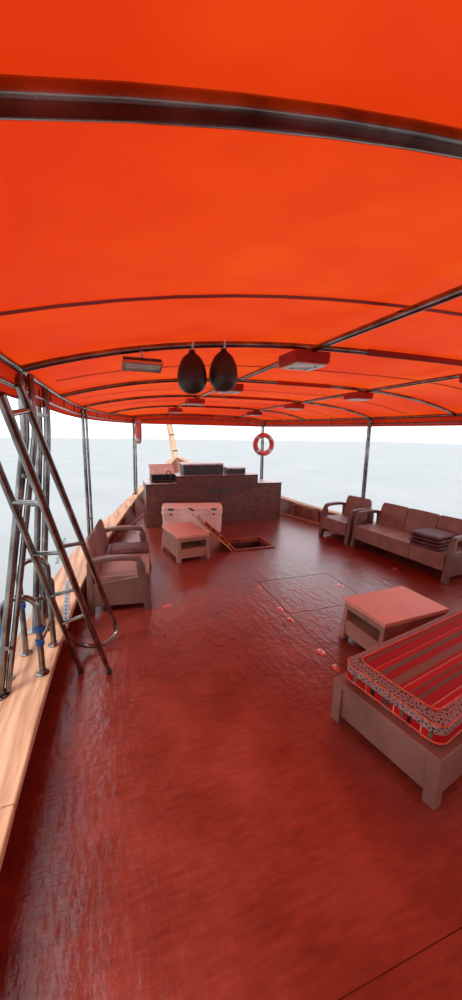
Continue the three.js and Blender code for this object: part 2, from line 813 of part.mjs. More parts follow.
// A post leans from the cap rail to below the awning's rail and ends plumb.
// The foot's flange follows the slope of the cap rail.
function awningPost(side, station) {
  const [y, half] = AWNING_STATIONS[station];
  const foot = halfBreadth(y, sheerAt(y)) - BULWARK_THICK / 2;
  const top = DECK_Z + AWNING_EDGE - RAIL_R - GAP;
  const ring = (cx, z, r) => Array.from({ length: 12 }, (_, k) => {
    const angle = (Math.PI * k) / 6;
    return [side * (cx + r * Math.cos(angle)), y + r * Math.sin(angle), z];
  });
  const flange = (lift, r) => ring(foot, 0, r).map(([px, py]) => [px, py, capTop(py) + lift]);
  return loft([
    flange(0, FLANGE_R),
    flange(10, FLANGE_R),
    flange(12, POST_R),
    ring(half, top - POST_BEND, POST_R),
    ring(half, top, POST_R),
  ], [0, 1]);
}

add('awning_canopy', canopy(), awningCloth);
add('awning_frame', awningFrame(), steel);
for (const [name, side] of Object.entries(SIDES)) {
  add(`awning_runner_${name}`, runner(side), steel);
  POST_STATIONS.forEach((station, n) => {
    add(`awning_post_${name}_${n + 1}`, awningPost(side, station), steel);
  });
}

// Fenders and lamp under the awning, and lifebuoys at the fore posts

// The height just under the bow's tube, whose stretches between arch points are straight.
function underBow(x, reach) {
  const [, half, crown] = FENDER_BOW;
  const stretch = (2 * half) / ARCH_STEPS;
  const near = Math.floor(x / stretch) * stretch;
  const slope = (archZ(near, half, crown) - archZ(near + stretch, half, crown)) / stretch;
  const centre = archZ(near, half, crown) - slope * (x - near);
  return centre - FRAME_R * Math.hypot(1, slope) - reach * slope - GAP;
}

function fender(x) {
  return new THREE.LatheGeometry(FENDER_PROFILE.map((p) => new THREE.Vector2(...p)), 12)
    .rotateX(Math.PI / 2)
    .translate(x, FENDER_BOW[0], underBow(x, 12));
}

function floodLamp() {
  const { x, width, length, height, stem } = LAMP;
  const top = underBow(x, stem / 2);
  return join(
    box(width, length, height, x, FENDER_BOW[0], top - height - stem),
    box(stem, stem, stem + 20, x, FENDER_BOW[0], top - stem - 20.5),
  );
}

function lifebuoy(turn, x, y, z) {
  return ringAboutY(LIFEBUOY.radius, LIFEBUOY.section, 10, 24).rotateZ(turn).translate(x, y, z);
}

for (const [name, x] of Object.entries(FENDER_XS)) {
  add(name, fender(x), fenderBlack);
}
add('flood_lamp', floodLamp(), ironPaint);
const FORE_POST_Y = AWNING_STATIONS[0][0];
add('lifebuoy_port', lifebuoy(Math.PI / 2, 1573.6, FORE_POST_Y + 245, DECK_Z + 1990), ringRed);
add('lifebuoy_starboard', lifebuoy(0, -1640, FORE_POST_Y + 86.4, DECK_Z + 1700), ringRed);

// Ice chest
function chestTub() {
  const { width, length, wall, tub } = CHEST;
  return cut(box(width, length, tub, 0, 0, 0), box(width - 2 * wall, length - 2 * wall, tub, 0, 0, wall));
}

add('ice_chest', chestTub(), chestWhite, { ...CHEST, z: FLOOR });
add('ice_chest_lid', box(CHEST.width, CHEST.length, CHEST.lid, 0, 0, 0), chestWhite, {
  ...CHEST, z: FLOOR + GAP + CHEST.tub,
});

// Seats and tables
function seating(width) {
  const half = SEAT.depth / 2;
  const arm = (from) => prism([
    [-half, 0],
    [-half, 560],
    [-half + 60, 640],
    [half - 20, 620],
    [half, 0],
    [half - 80, 0],
    [half - 150, 300],
    [150 - half, 300],
    [80 - half, 0],
  ], 'x', from, from + SEAT.arm);
  const inside = width - 2 * SEAT.arm + 20;
  const backFoot = SEAT.seatHeight - 60;
  return join(
    arm(-width / 2),
    arm(width / 2 - SEAT.arm),
    box(inside, SEAT.depth - 60, SEAT.seatThick, 0, -10, SEAT.seatHeight - SEAT.seatThick),
    box(inside, SEAT.backThick, SEAT.back - backFoot, 0, half - 60, backFoot),
  );
}

function lowTable() {
  const { width, length, height, top, apron, leg, shelf } = TABLE;
  const legs = [[-1, -1], [-1, 1], [1, -1], [1, 1]].map(([i, j]) => (
    box(leg, leg, height - 20, (i * (width - leg)) / 2, (j * (length - leg)) / 2, 0)
  ));
  return join(
    box(width, length, top, 0, 0, height - top),
    box(width - 40, length - 40, apron, 0, 0, height - top - apron + 15),
    box(width - 80, length - 80, 25, 0, 0, shelf),
    ...legs,
  );
}

add('sofa_port', seating(1320), rattan, { x: 2102, y: -985, z: FLOOR, turn: -96 });
add('sofa_port_cushion', box(440, 540, 55, 0, 0, 0), darkVinyl, {
  x: 2007, y: -1297, z: FLOOR + SEAT.seatHeight + GAP, turn: -93,
});
add('sofa_cushion_pile', box(520, 560, 215, 0, 0, 0), darkVinyl, {
  x: -2261, y: -286, z: FLOOR + SEAT.seatHeight + GAP, turn: 103,
});
add('armchair_starboard', seating(750), rattan, { x: -2080, y: -2077, z: FLOOR, turn: 100 });
add('sofa_starboard', seating(1790), rattan, { x: -2287, y: -763, z: FLOOR, turn: 97.1 });
add('table_fore', lowTable(), rattan, { x: 1098, y: -2044, z: FLOOR, turn: 99.8 });
add('table_aft', lowTable(), rattan, { x: -310, y: 1035, z: FLOOR, turn: 3.4 });
add('settee_base', box(SETTEE.width, SETTEE.length, SETTEE.base, 0, 0, 0), rattan, { ...SETTEE, z: FLOOR });
add('settee_cushion', box(SETTEE.width - 20, SETTEE.length - 10, SETTEE.cushion, 0, 0, 0), wovenCloth, {
  ...SETTEE, z: FLOOR + SETTEE.base + GAP,
});

// Boarding ladder stowed against the port rail: two rails and a handrail bent round to the outer one
function ladderRail({ foot, head }) {
  const slope = Math.hypot(head[0] - foot[0], head[1] - foot[1]) / (head[2] - DECK_Z);
  const lift = (LADDER.railRadius * slope) / Math.hypot(1, slope) + GAP;
  return [[...foot, DECK_Z + lift], head];
}

function boardingLadder() {
  const rails = {
    inner: ladderRail(LADDER.inner),
    outer: ladderRail(LADDER.outer),
    hand: [LADDER.hand.low, LADDER.hand.head],
  };
  const bend = [LADDER.hand.low, ...LADDER.bend, between(...rails.outer, LADDER.bendEnd)];
  const rungs = LADDER.rungs.map(([from, at, to, share]) => (
    tube([between(...rails[from], at), between(...rails[to], share)], LADDER.rungRadius)
  ));
  const lines = [...Object.values(rails), smooth(bend, LADDER.bendSteps)];
  return join(...lines.map((line) => tube(line, LADDER.railRadius)), ...rungs);
}

// A place on the cap rail, clear of its slope by the foot's own radius.
function onCap([x, y], radius) {
  return [x, y, Math.max(capTop(y - radius), capTop(y + radius))];
}

// A hoop with rounded corners that stands on the cap rail.
function hoop({ from, to, top }) {
  const { radius, corner } = GATE;
  const span = Math.hypot(to[0] - from[0], to[1] - from[1]);
  const at = (reach, drop) => [...between(from, to, reach / span), top - drop];
  const steps = 4;
  const turn = Array.from({ length: steps + 1 }, (_, k) => {
    const angle = (Math.PI / 2) * (k / steps);
    return [corner * (1 - Math.cos(angle)), corner * (1 - Math.sin(angle))];
  });
  const up = turn.map(([reach, drop]) => at(reach, drop));
  const down = turn.toReversed().map(([reach, drop]) => at(span - reach, drop));
  return tube([onCap(from, radius), ...up, ...down, onCap(to, radius)], radius);
}

function gateRail() {
  const { across, along, tieHeight, tieRadius } = GATE;
  const tie = tube([[...across.from, tieHeight], [...along.from, tieHeight]], tieRadius);
  return join(hoop(across), hoop(along), tie);
}

function bitts() {
  const { y, half, side, height, bar } = BITTS;
  const posts = [-half, half].map((x) => box(side, side, height, x, y, FLOOR));
  return join(...posts, box(bar, side - 20, side - 20, 0, y, DECK_Z + 380));
}

add('boarding_ladder', boardingLadder(), steel);
add('gate_rail', gateRail(), steel);
add('mooring_bitts', bitts(), counterPaint);

export default boat;
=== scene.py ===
import json
import math
import random

import bmesh
import bpy
from mathutils import Matrix, Vector, noise

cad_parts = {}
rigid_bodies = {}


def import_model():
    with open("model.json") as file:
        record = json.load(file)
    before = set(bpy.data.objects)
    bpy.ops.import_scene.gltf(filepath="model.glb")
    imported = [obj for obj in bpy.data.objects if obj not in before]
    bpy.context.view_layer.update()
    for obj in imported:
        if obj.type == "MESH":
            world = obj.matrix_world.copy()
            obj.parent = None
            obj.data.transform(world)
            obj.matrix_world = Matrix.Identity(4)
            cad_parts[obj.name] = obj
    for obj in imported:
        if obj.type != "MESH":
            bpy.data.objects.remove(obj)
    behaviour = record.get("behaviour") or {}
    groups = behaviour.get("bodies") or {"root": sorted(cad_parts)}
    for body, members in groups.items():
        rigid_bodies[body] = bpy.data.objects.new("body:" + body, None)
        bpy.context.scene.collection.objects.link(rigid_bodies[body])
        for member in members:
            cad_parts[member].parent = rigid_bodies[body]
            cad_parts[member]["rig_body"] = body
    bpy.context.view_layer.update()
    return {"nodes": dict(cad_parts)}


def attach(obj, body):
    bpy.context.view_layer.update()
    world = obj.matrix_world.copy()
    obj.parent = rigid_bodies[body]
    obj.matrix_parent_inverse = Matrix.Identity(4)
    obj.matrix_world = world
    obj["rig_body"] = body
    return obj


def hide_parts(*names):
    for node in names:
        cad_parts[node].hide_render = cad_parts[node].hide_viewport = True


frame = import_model()

# A wooden passenger dhow seen from its own deck. Metres; the origin is on the waterline amidships, +X port, -Y bow.
# The hull and awning formulas below are the ones that the CAD model was made with.

DECK_Z = 1.3
HALF_BEAM = 3.0
TRANSOM_HALF = 2.3
FULLEST = 0.6
BOW_POWER = 2.65
STEM_HALF = 0.075
STEM_DECK_Y = -7.7
STEM_RAKE = 1.05
TRANSOM_Y = 9.8
TRANSOM_RAKE = 0.25
KEEL_Z = -1.0
BULWARK = 0.27
BULWARK_THICK = 0.08
BOW_RISE = 0.8
STERN_RISE = 0.77
CAP_THICK = 0.055
CAP_OUTER = 0.045
CAP_INNER = {1: 0.23, -1: 0.06}
SIDES = {"port": 1, "starboard": -1}

QUARTERDECK_Y = 5.7
QUARTERDECK_HIGH = 0.342

AWNING_EDGE = DECK_Z + 2.31
VALANCE = 0.15
RUNNER_X = 0.89
FRAME_R = 0.02
RAIL_R = 0.022
POST_R = 0.024
AWNING_STATIONS = [
    # y, half width, crown
    (-5.2, 1.66, 3.7), (-4.0, 2.2, 3.82), (-2.2, 2.56, 3.86), (-0.5, 2.65, 3.885), (1.15, 2.66, 3.9),
    (2.85, 2.66, 3.9), (4.55, 2.66, 3.9), (6.25, 2.66, 3.9), (7.95, 2.6, 3.88), (9.5, 2.3, 3.82),
]
POST_STATIONS = (0, 2, 4, 6, 8)

# The camera stands on deck, where the photograph was taken.
EYE = Vector((2.21, 3.46, 3.29))
HEADING = math.radians(19.1)
PITCH = 0.190
ROLL = -0.0194
FOCAL_PX = 350.8
LONG_SIDE_PX = 1000
SENSOR = 36.0
NEAREST = 0.05
FARTHEST = 500


def linked(name, data):
    obj = bpy.data.objects.new(name, data)
    bpy.context.scene.collection.objects.link(obj)
    return obj


def make_camera():
    ahead = Vector((-math.sin(HEADING) * math.cos(PITCH), -math.cos(HEADING) * math.cos(PITCH), -math.sin(PITCH)))
    right = Vector((-math.cos(HEADING), math.sin(HEADING), 0))
    down = ahead.cross(right)
    turned_right = math.cos(ROLL) * right + math.sin(ROLL) * down
    turned_down = -math.sin(ROLL) * right + math.cos(ROLL) * down
    data = bpy.data.cameras.new("photo_camera")
    data.sensor_width = SENSOR
    data.lens = FOCAL_PX * SENSOR / LONG_SIDE_PX
    data.clip_start = NEAREST
    data.clip_end = FARTHEST
    camera = linked("photo_camera", data)
    basis = Matrix((turned_right, -turned_down, -ahead)).transposed().to_4x4()
    camera.matrix_world = Matrix.Translation(EYE) @ basis
    bpy.context.scene.camera = camera


make_camera()


# Hull form: f runs from 0 at the stem to 1 at the transom.
def stem_y(z):
    return STEM_DECK_Y - STEM_RAKE * (z - DECK_Z)


def transom_y(z):
    return TRANSOM_Y + TRANSOM_RAKE * z


def hull_y(f, z):
    return stem_y(z) + f * (transom_y(z) - stem_y(z))


def sheer_z(f):
    bow = BOW_RISE * max(0, (0.25 - f) / 0.25) ** 1.6
    stern = STERN_RISE * max(0, (f - 0.68) / 0.32) ** 1.3
    return DECK_Z + BULWARK + bow + stern


def sheer_half(f):
    if f < FULLEST:
        return HALF_BEAM - (HALF_BEAM - STEM_HALF) * ((FULLEST - f) / FULLEST) ** BOW_POWER
    return HALF_BEAM - (HALF_BEAM - TRANSOM_HALF) * ((f - FULLEST) / (1 - FULLEST)) ** 2


def hull_x(f, z):
    rise = min(max((z - KEEL_Z) / (sheer_z(f) - KEEL_Z), 0), 1)
    at_bow = 0.55 * max(0, (0.45 - f) / 0.45) ** 1.5
    at_stern = 1.1 * max(0, (f - 0.6) / 0.4) ** 1.5
    fullness = (1 - (1 - rise) ** 3.2) ** (0.62 + at_bow + at_stern)
    keel_half = STEM_HALF - 0.005
    return keel_half + (sheer_half(f) - keel_half) * fullness


def station_at(y, z):
    return min(max((y - stem_y(z)) / (transom_y(z) - stem_y(z)), 0), 1)


def sheer_at(y):
    """The station and height of the bulwark's top edge at y."""
    z = DECK_Z + BULWARK
    for _ in range(12):
        z = sheer_z(station_at(y, z))
    return station_at(y, z), z


def cap_top(y):
    return sheer_at(y)[1] + CAP_THICK + 0.0006


def stations(count):
    return [0.45 * (k / count) ** 2 + 0.55 * k / count for k in range(count + 1)]


def awning_at(y):
    """Half width and crown of the awning at y, on a smooth line through its stations."""
    last = len(AWNING_STATIONS) - 1
    n = 0
    while n < last - 1 and y > AWNING_STATIONS[n + 1][0]:
        n += 1
    from_y, to_y = AWNING_STATIONS[n][0], AWNING_STATIONS[n + 1][0]
    t = min(max((y - from_y) / (to_y - from_y), 0), 1)
    values = []
    for k in (1, 2):
        def slope(m):
            a, b = AWNING_STATIONS[max(m - 1, 0)], AWNING_STATIONS[min(m + 1, last)]
            return (b[k] - a[k]) / (b[0] - a[0])
        span = to_y - from_y
        p, q = AWNING_STATIONS[n][k], AWNING_STATIONS[n + 1][k]
        u, v = slope(n) * span, slope(n + 1) * span
        values.append(
            (2 * t**3 - 3 * t**2 + 1) * p + (t**3 - 2 * t**2 + t) * u + (3 * t**2 - 2 * t**3) * q + (t**3 - t**2) * v
        )
    return values


def arch_z(x, half, crown):
    return AWNING_EDGE + (crown - AWNING_EDGE) * (1 - min(abs(x / half), 1) ** 3)


def arch_slope(x, half, crown):
    return 3 * (crown - AWNING_EDGE) * min(abs(x / half), 1) ** 2 / half


# Materials
def tint(code):
    """A colour for a shader from a hexadecimal sRGB code."""
    parts = [int(code[k:k + 2], 16) / 255 for k in (0, 2, 4)]
    return tuple(p / 12.92 if p <= 0.04045 else ((p + 0.055) / 1.055) ** 2.4 for p in parts)


class Tree:
    """A material and its nodes, whose patterns follow the piece's own coordinates."""

    def __init__(self, name):
        self.material = bpy.data.materials.new(name)
        self.material.use_nodes = True
        self.nodes = self.material.node_tree.nodes
        self.links = self.material.node_tree.links
        self.shader = self.nodes["Principled BSDF"]
        self.coords = self.add("ShaderNodeTexCoord").outputs["Object"]

    def add(self, kind, inputs=None, **settings):
        node = self.nodes.new(kind)
        for key, value in settings.items():
            setattr(node, key, value)
        for key, value in (inputs or {}).items():
            self.feed(node.inputs[key], value)
        return node

    def feed(self, socket, value):
        if isinstance(value, bpy.types.NodeSocket):
            self.links.new(value, socket)
        elif hasattr(value, "__len__") and len(value) == 3 and len(socket.default_value) == 4:
            socket.default_value = (*value, 1)
        else:
            socket.default_value = value

    def noise(self, scale, stretch=(1, 1, 1), detail=4, shift=0.0):
        place = self.add("ShaderNodeMapping", {"Vector": self.coords, "Scale": stretch, "Location": (shift,) * 3})
        return self.add("ShaderNodeTexNoise", {"Vector": place.outputs[0], "Scale": scale, "Detail": detail}).outputs[0]

    def wave(self, scale, direction="X", profile="SIN", distortion=0.0, detail_scale=1.0):
        return self.add(
            "ShaderNodeTexWave",
            {"Vector": self.coords, "Scale": scale, "Distortion": distortion, "Detail Scale": detail_scale},
            bands_direction=direction, wave_profile=profile,
        ).outputs["Fac"]

    def math(self, operation, a, b=0.5):
        return self.add("ShaderNodeMath", {0: a, 1: b}, operation=operation).outputs[0]

    def spread(self, value, low, high, from_low=0.3, from_high=0.7):
        inputs = {"Value": value, "From Min": from_low, "From Max": from_high, "To Min": low, "To Max": high}
        return self.add("ShaderNodeMapRange", inputs).outputs[0]

    def ramp(self, value, stops, sharp=False):
        node = self.add("ShaderNodeValToRGB", {"Fac": value})
        node.color_ramp.interpolation = "CONSTANT" if sharp else "LINEAR"
        elements = node.color_ramp.elements
        while len(elements) < len(stops):
            elements.new(1)
        for element, (place, colour) in zip(elements, stops):
            element.position = place
            element.color = (*colour, 1)
        return node.outputs[0]

    def blend(self, share, a, b, kind="MIX"):
        node = self.add("ShaderNodeMix", data_type="RGBA", blend_type=kind)
        for socket, value in zip((node.inputs[0], node.inputs[6], node.inputs[7]), (share, a, b)):
            self.feed(socket, value)
        return node.outputs[2]

    def toned(self, colour, amount):
        """Makes each board lighter or darker by its own tone."""
        tone = self.add("ShaderNodeAttribute", attribute_name="tone").outputs["Fac"]
        shade = self.spread(tone, 1 - amount, 1 + amount, 0, 1)
        return self.add("ShaderNodeHueSaturation", {"Color": colour, "Value": shade}).outputs[0]

    def axis(self, name):
        return self.add("ShaderNodeSeparateXYZ", {0: self.coords}).outputs[name]

    def bump(self, height, strength, distance, normal=None):
        inputs = {"Height": height, "Strength": strength, "Distance": distance}
        if normal is not None:
            inputs["Normal"] = normal
        return self.add("ShaderNodeBump", inputs).outputs[0]

    def finish(self, colour, rough, normal=None, **constants):
        self.feed(self.shader.inputs["Base Color"], colour)
        self.feed(self.shader.inputs["Roughness"], rough)
        if normal is not None:
            self.feed(self.shader.inputs["Normal"], normal)
        for key, value in constants.items():
            self.shader.inputs[key.replace("_", " ")].default_value = value
        return self.material


def stops(codes, low=0.32, high=0.68):
    return [(low + (high - low) * k / max(len(codes) - 1, 1), tint(code)) for k, code in enumerate(codes)]


def worn(tree, colour, edge, amount=0.6):
    """Lightens the colour along worn edges."""
    pointed = tree.add("ShaderNodeNewGeometry").outputs["Pointiness"]
    rubbed = tree.math("MULTIPLY", tree.spread(pointed, 0, amount, 0.51, 0.58), tree.spread(tree.noise(14), 0.2, 1))
    return tree.blend(rubbed, colour, tint(edge))


def surface(name, codes, scale=5.0, stretch=(1, 1, 1), rough=(0.4, 0.6), fine=60.0, bump=0.15, depth=0.002,
            edge=None, toned=0.0, **constants):
    """A painted, moulded or metal surface: broad colour variation, fine grain in gloss and relief, worn edges."""
    tree = Tree(name)
    broad = tree.noise(scale, stretch, 6)
    grain = tree.noise(fine, stretch, 5, 3.1)
    colour = tree.ramp(broad, stops(codes))
    if toned:
        colour = tree.toned(colour, toned)
    if edge:
        colour = worn(tree, colour, edge)
    gloss = tree.spread(tree.math("ADD", tree.math("MULTIPLY", broad), tree.math("MULTIPLY", grain)), *rough)
    return tree.finish(colour, gloss, tree.bump(grain, bump, depth), **constants)


def timber(name, codes, along="Y", toned=0.28, edge=None, rough=(0.35, 0.6), bump=0.35, dressing=None, rake=0.0,
           **constants):
    """Wood with rings stretched along the grain, pores and, with tone, boards of different shades."""
    tree = Tree(name)
    if rake:
        tree.coords = tree.add("ShaderNodeMapping", {"Vector": tree.coords, "Rotation": (rake, 0, 0)}).outputs[0]
    stretch = {"X": (0.06, 1, 1), "Y": (1, 0.06, 1), "Z": (1, 1, 0.06)}[along]
    rings = tree.noise(16, stretch, 8)
    pores = tree.noise(90, stretch, 4, 1.7)
    figure = tree.noise(1.3, (1, 1, 1), 3, 5.0)
    mixed = tree.math("ADD", tree.math("MULTIPLY", rings, 0.75), tree.math("MULTIPLY", figure, 0.25))
    colour = tree.ramp(mixed, stops(codes, 0.36, 0.64))
    dark_pores = tree.spread(pores, 0.35, 0.0, 0.3, 0.45)
    colour = tree.blend(dark_pores, colour, tint(codes[0]), "MULTIPLY")
    if toned:
        colour = tree.toned(colour, toned)
    if edge:
        colour = worn(tree, colour, edge)
    if dressing:
        colour = dressing(tree, colour)
    return tree.finish(colour, tree.spread(rings, *rough), tree.bump(pores, bump, 0.002), **constants)


BOOT_LINE_TOP = 0.14
BOOT_LINE_FOOT = 0.06
SETTEE = {"width": 1.9, "length": 0.74, "base": 0.32, "cushion": 0.17}


def waterline(tree, colour):
    """Bottom paint below a pale boot line."""
    height = tree.axis("Z")
    grime = tree.ramp(tree.noise(7, (1, 1, 1), 6), stops(["4a2018", "6b2f22"]))
    line = tree.ramp(tree.noise(9, (1, 1, 1), 5), stops(["c9c2b4", "e0dacd"]))
    under = tree.math("LESS_THAN", height, BOOT_LINE_TOP)
    bottom = tree.math("LESS_THAN", height, BOOT_LINE_FOOT)
    return tree.blend(bottom, tree.blend(under, colour, line), grime)


def woven_plastic(name, codes, pitch=0.011, rough=(0.42, 0.58)):
    """Moulded plastic with a basket weave."""
    tree = Tree(name)
    across, along, upward = (tree.wave(math.pi / (10 * pitch), way) for way in "XYZ")
    weave = tree.math("MAXIMUM", tree.math("MULTIPLY", across, upward), tree.math("MULTIPLY", along, upward))
    weave = tree.math("MAXIMUM", weave, tree.math("MULTIPLY", across, along))
    broad = tree.noise(4, (1, 1, 1), 5)
    colour = tree.ramp(broad, stops(codes))
    colour = tree.blend(tree.spread(weave, 0.22, 0, 0, 0.5), colour, tint(codes[0]), "MULTIPLY")
    colour = worn(tree, colour, codes[-1], 0.4)
    return tree.finish(colour, tree.spread(broad, *rough), tree.bump(weave, 0.35, 0.002))


def awning_fabric(name, codes, glow, share):
    """Coated cloth that lets the sky's light through, with a fine weave."""
    tree = Tree(name)
    patches = tree.noise(0.55, (1, 1, 1), 4)
    stains = tree.noise(3.5, (1, 1.6, 1), 6, 2.0)
    weave = tree.math("MULTIPLY", tree.wave(90, "X"), tree.wave(90, "Y"))
    mixed = tree.math("ADD", tree.math("MULTIPLY", patches, 0.7), tree.math("MULTIPLY", stains, 0.3))
    colour = tree.ramp(mixed, stops(codes, 0.38, 0.62))
    lit = tree.ramp(mixed, stops(glow, 0.38, 0.62))
    normal = tree.bump(weave, 0.15, 0.001, tree.bump(stains, 0.25, 0.01))
    tree.finish(colour, tree.spread(stains, 0.65, 0.85), normal, Sheen_Weight=0.02)
    through = tree.add("ShaderNodeBsdfTranslucent", {"Color": lit, "Normal": normal})
    mix = tree.add("ShaderNodeMixShader", {0: share, 1: tree.shader.outputs[0], 2: through.outputs[0]})
    tree.links.new(mix.outputs[0], tree.nodes["Material Output"].inputs["Surface"])
    return tree.material


def polished(name, codes, rough=(0.12, 0.3), brushed=(1, 1, 1), metal=1.0):
    """Bare metal with finger marks and fine scratches."""
    return surface(name, codes, 8, brushed, rough, 120, 0.05, 0.0005, Metallic=metal)


def deck_oxide(name):
    """Glossy oxide paint with brush strokes, scuffs and wet-looking patches."""
    tree = Tree(name)
    broad = tree.noise(0.7, (1, 1, 1), 5)
    scuffs = tree.noise(3, (1, 1, 1), 6, 2.0)
    strokes = tree.noise(48, (0.2, 1, 1), 5, 4.0)
    swirl = tree.noise(18, (1, 0.5, 1), 5, 9.0)
    mixed = tree.math("ADD", tree.math("MULTIPLY", broad, 0.4), tree.math("MULTIPLY", scuffs, 0.3))
    mixed = tree.math("ADD", mixed, tree.math("MULTIPLY", strokes, 0.3))
    colour = tree.ramp(mixed, stops(["561a12", "73281d", "8c382a"], 0.34, 0.66))
    normal = tree.bump(swirl, 0.6, 0.011, tree.bump(strokes, 0.6, 0.005))
    tree.feed(tree.shader.inputs["Coat Normal"], normal)
    gloss = tree.spread(scuffs, 0.22, 0.42, 0.1, 0.9)
    return tree.finish(colour, gloss, normal, Coat_Weight=0.5, Coat_Roughness=0.16)


def woven_stripes(name):
    """Red wool with lengthwise stripes; the piece's own Y runs across them."""
    tree = Tree(name)
    across = tree.axis("Y")
    red, bright, dark = tint("a00608"), tint("b80e0e"), tint("241414")
    grey, cream, brown = tint("5c5a4a"), tint("c9a98a"), tint("5a3232")
    bands = [
        (0.0, red), (0.174, grey), (0.207, red), (0.301, cream), (0.308, bright), (0.351, dark), (0.391, red),
        (0.461, brown), (0.538, red), (0.57, cream), (0.577, bright), (0.628, grey), (0.65, red), (0.69, dark),
        (0.72, red), (0.8, cream), (0.807, bright), (0.86, grey), (0.89, red),
    ]
    share = tree.spread(across, 0, 1, -SETTEE["length"] / 2, SETTEE["length"] / 2)
    first = tree.ramp(share, bands, True)
    dashes = tree.math("GREATER_THAN", tree.wave(26, "X"), 0.62)
    second = tree.ramp(share, [(0.0, red), (0.351, cream), (0.391, red), (0.461, cream), (0.538, red), (0.69, cream),
                               (0.72, red)], True)
    colour = tree.blend(tree.math("MULTIPLY", dashes, 0.55), first, second)
    thread = tree.math("MULTIPLY", tree.wave(150, "X"), tree.wave(150, "Y"))
    fuzz = tree.noise(180, (1, 1, 1), 3)
    colour = tree.blend(tree.spread(thread, 0.25, 0, 0, 0.6), colour, tint("7a2024"), "MULTIPLY")
    normal = tree.bump(thread, 0.5, 0.0015, tree.bump(fuzz, 0.3, 0.001))
    return tree.finish(colour, tree.spread(fuzz, 0.8, 0.95), normal, Specular_IOR_Level=0.2)


def woven_border(name):
    """A dark band with a looped woven figure."""
    tree = Tree(name)
    cells = tree.add("ShaderNodeTexVoronoi", {"Vector": tree.coords, "Scale": 34.0, "Randomness": 0.25})
    ring = tree.math("PINGPONG", tree.math("MULTIPLY", cells.outputs["Distance"], 2.2), 0.5)
    colour = tree.ramp(ring, [(0.0, tint("1c0e0e")), (0.2, tint("c09088")), (0.34, tint("2a1413"))])
    thread = tree.wave(140, "X")
    return tree.finish(colour, tree.spread(thread, 0.8, 0.95), tree.bump(thread, 0.4, 0.0015), Sheen_Weight=0.04)


HULL_TIMBER = timber("hull_timber", ["4a2412", "6e3d1f", "87502a"], "Y", 0.42, dressing=waterline, Coat_Weight=0.25)
TRANSOM_TIMBER = timber("transom_timber", ["4a2412", "6e3d1f", "87502a"], "X", 0.42, dressing=waterline,
                        Coat_Weight=0.25)
WALE_TIMBER = timber("wale_timber", ["1d0d07", "351a0e", "472614"], "Y", 0.15, edge="7a5230")
LIGHT_TIMBER = timber("light_timber", ["8a5f44", "b98d6c", "d2aa86"], "Y", 0.14, rough=(0.5, 0.75), bump=0.6)
STEM_TIMBER = timber("stem_timber", ["8a5f44", "b98d6c", "d2aa86"], "Z", 0.0, edge="e0c4a4", rough=(0.5, 0.7),
                     rake=-math.atan(STEM_RAKE))
CROSS_TIMBER = timber("cross_timber", ["7d4a34", "a5704f", "c0906a"], "X", 0.14, rough=(0.45, 0.7))
RED_TIMBER = timber("red_timber", ["5e2517", "8a4029", "a8583a"], "Y", 0.15, rough=(0.4, 0.6))
DARK_TIMBER = timber("dark_timber", ["1c100b", "2b1a12", "3b2519"], "Y", 0.1)
DECK_PAINT = deck_oxide("deck_paint")
LINING_PAINT = surface("lining_paint", ["4a1713", "6a2620", "7a332a"], 2.2, rough=(0.3, 0.5), fine=40, bump=0.3,
                       edge="b98d6c")
# Dark maroon paint, made darker still as painted shade on the counter's sides and front.
COUNTER_PAINT = surface("counter_paint", ["351613", "3d1a16", "451f1a"], 2.5, (1, 1, 0.12), (0.36, 0.48), 60, 0.1,
                        edge="8a5648")
COUNTER_TOP = surface("counter_top", ["a3978e", "c2b8ae", "d4ccc2"], 3.0, (0.3, 1, 1), (0.22, 0.4), 30, 0.1)
WHITE_BOARD = surface("white_board", ["b9a8a0", "d6c9c0", "e4dad2"], 3.0, rough=(0.3, 0.5), bump=0.1, edge="8a6a5c")
AWNING_CLOTH = awning_fabric("awning_cloth", ["8f1c08", "a2240a", "b32d0d"], ["f03a08", "fa480a", "ff5a12"], 0.32)
VALANCE_CLOTH = awning_fabric("valance_cloth", ["7c1208", "901a0a", "a2220c"], ["d0240a", "e6320c", "f43e10"], 0.3)
SLEEVE_CLOTH = awning_fabric("sleeve_cloth", ["7e1208", "a51c0a", "b9280e"], ["c81c06", "e02a08", "f03a0c"], 0.1)
STAINLESS = polished("stainless", ["5f5b59", "827e7b", "a09c99"])
ALUMINIUM = polished("aluminium", ["9a9a9a", "c4c4c2", "dcdcda"], (0.25, 0.45), (0.1, 1, 1))
# Steel tinted pink: a painted reflection of the red surroundings, used on the deck plates and the lid's pull.
STEEL_PAINTED_REFLECTION = polished("steel_painted_pink_reflection", ["b0665c", "dc988e", "f0c8c0"], (0.25, 0.45))
DARK_IRON = surface("dark_iron", ["141416", "222226", "2e2e33"], 9, rough=(0.45, 0.65), edge="6a6a6c", Metallic=0.5)
BLACK_PLASTIC = surface("black_plastic", ["0c0c0d", "161617", "1f1f21"], 8, rough=(0.35, 0.5), edge="4a4a4c")
BRONZE = polished("bronze", ["6a4a22", "96702f", "b58a42"], (0.28, 0.5))
RING_RED = surface("ring_red", ["a01408", "c02010", "d83a20"], 6, rough=(0.4, 0.55), bump=0.25, edge="e89a88")
RING_BAND = surface("ring_band", ["8e8c8a", "b0aeac", "c6c4c2"], 14, rough=(0.3, 0.5), bump=0.2)
FENDER_RUBBER = surface("fender_rubber", ["0e0c0c", "1a1515", "2a2020"], 5, rough=(0.35, 0.6), bump=0.3, edge="4e3e3a")
RATTAN = woven_plastic("rattan_plastic", ["6c453a", "7c5246", "8a5e52"])
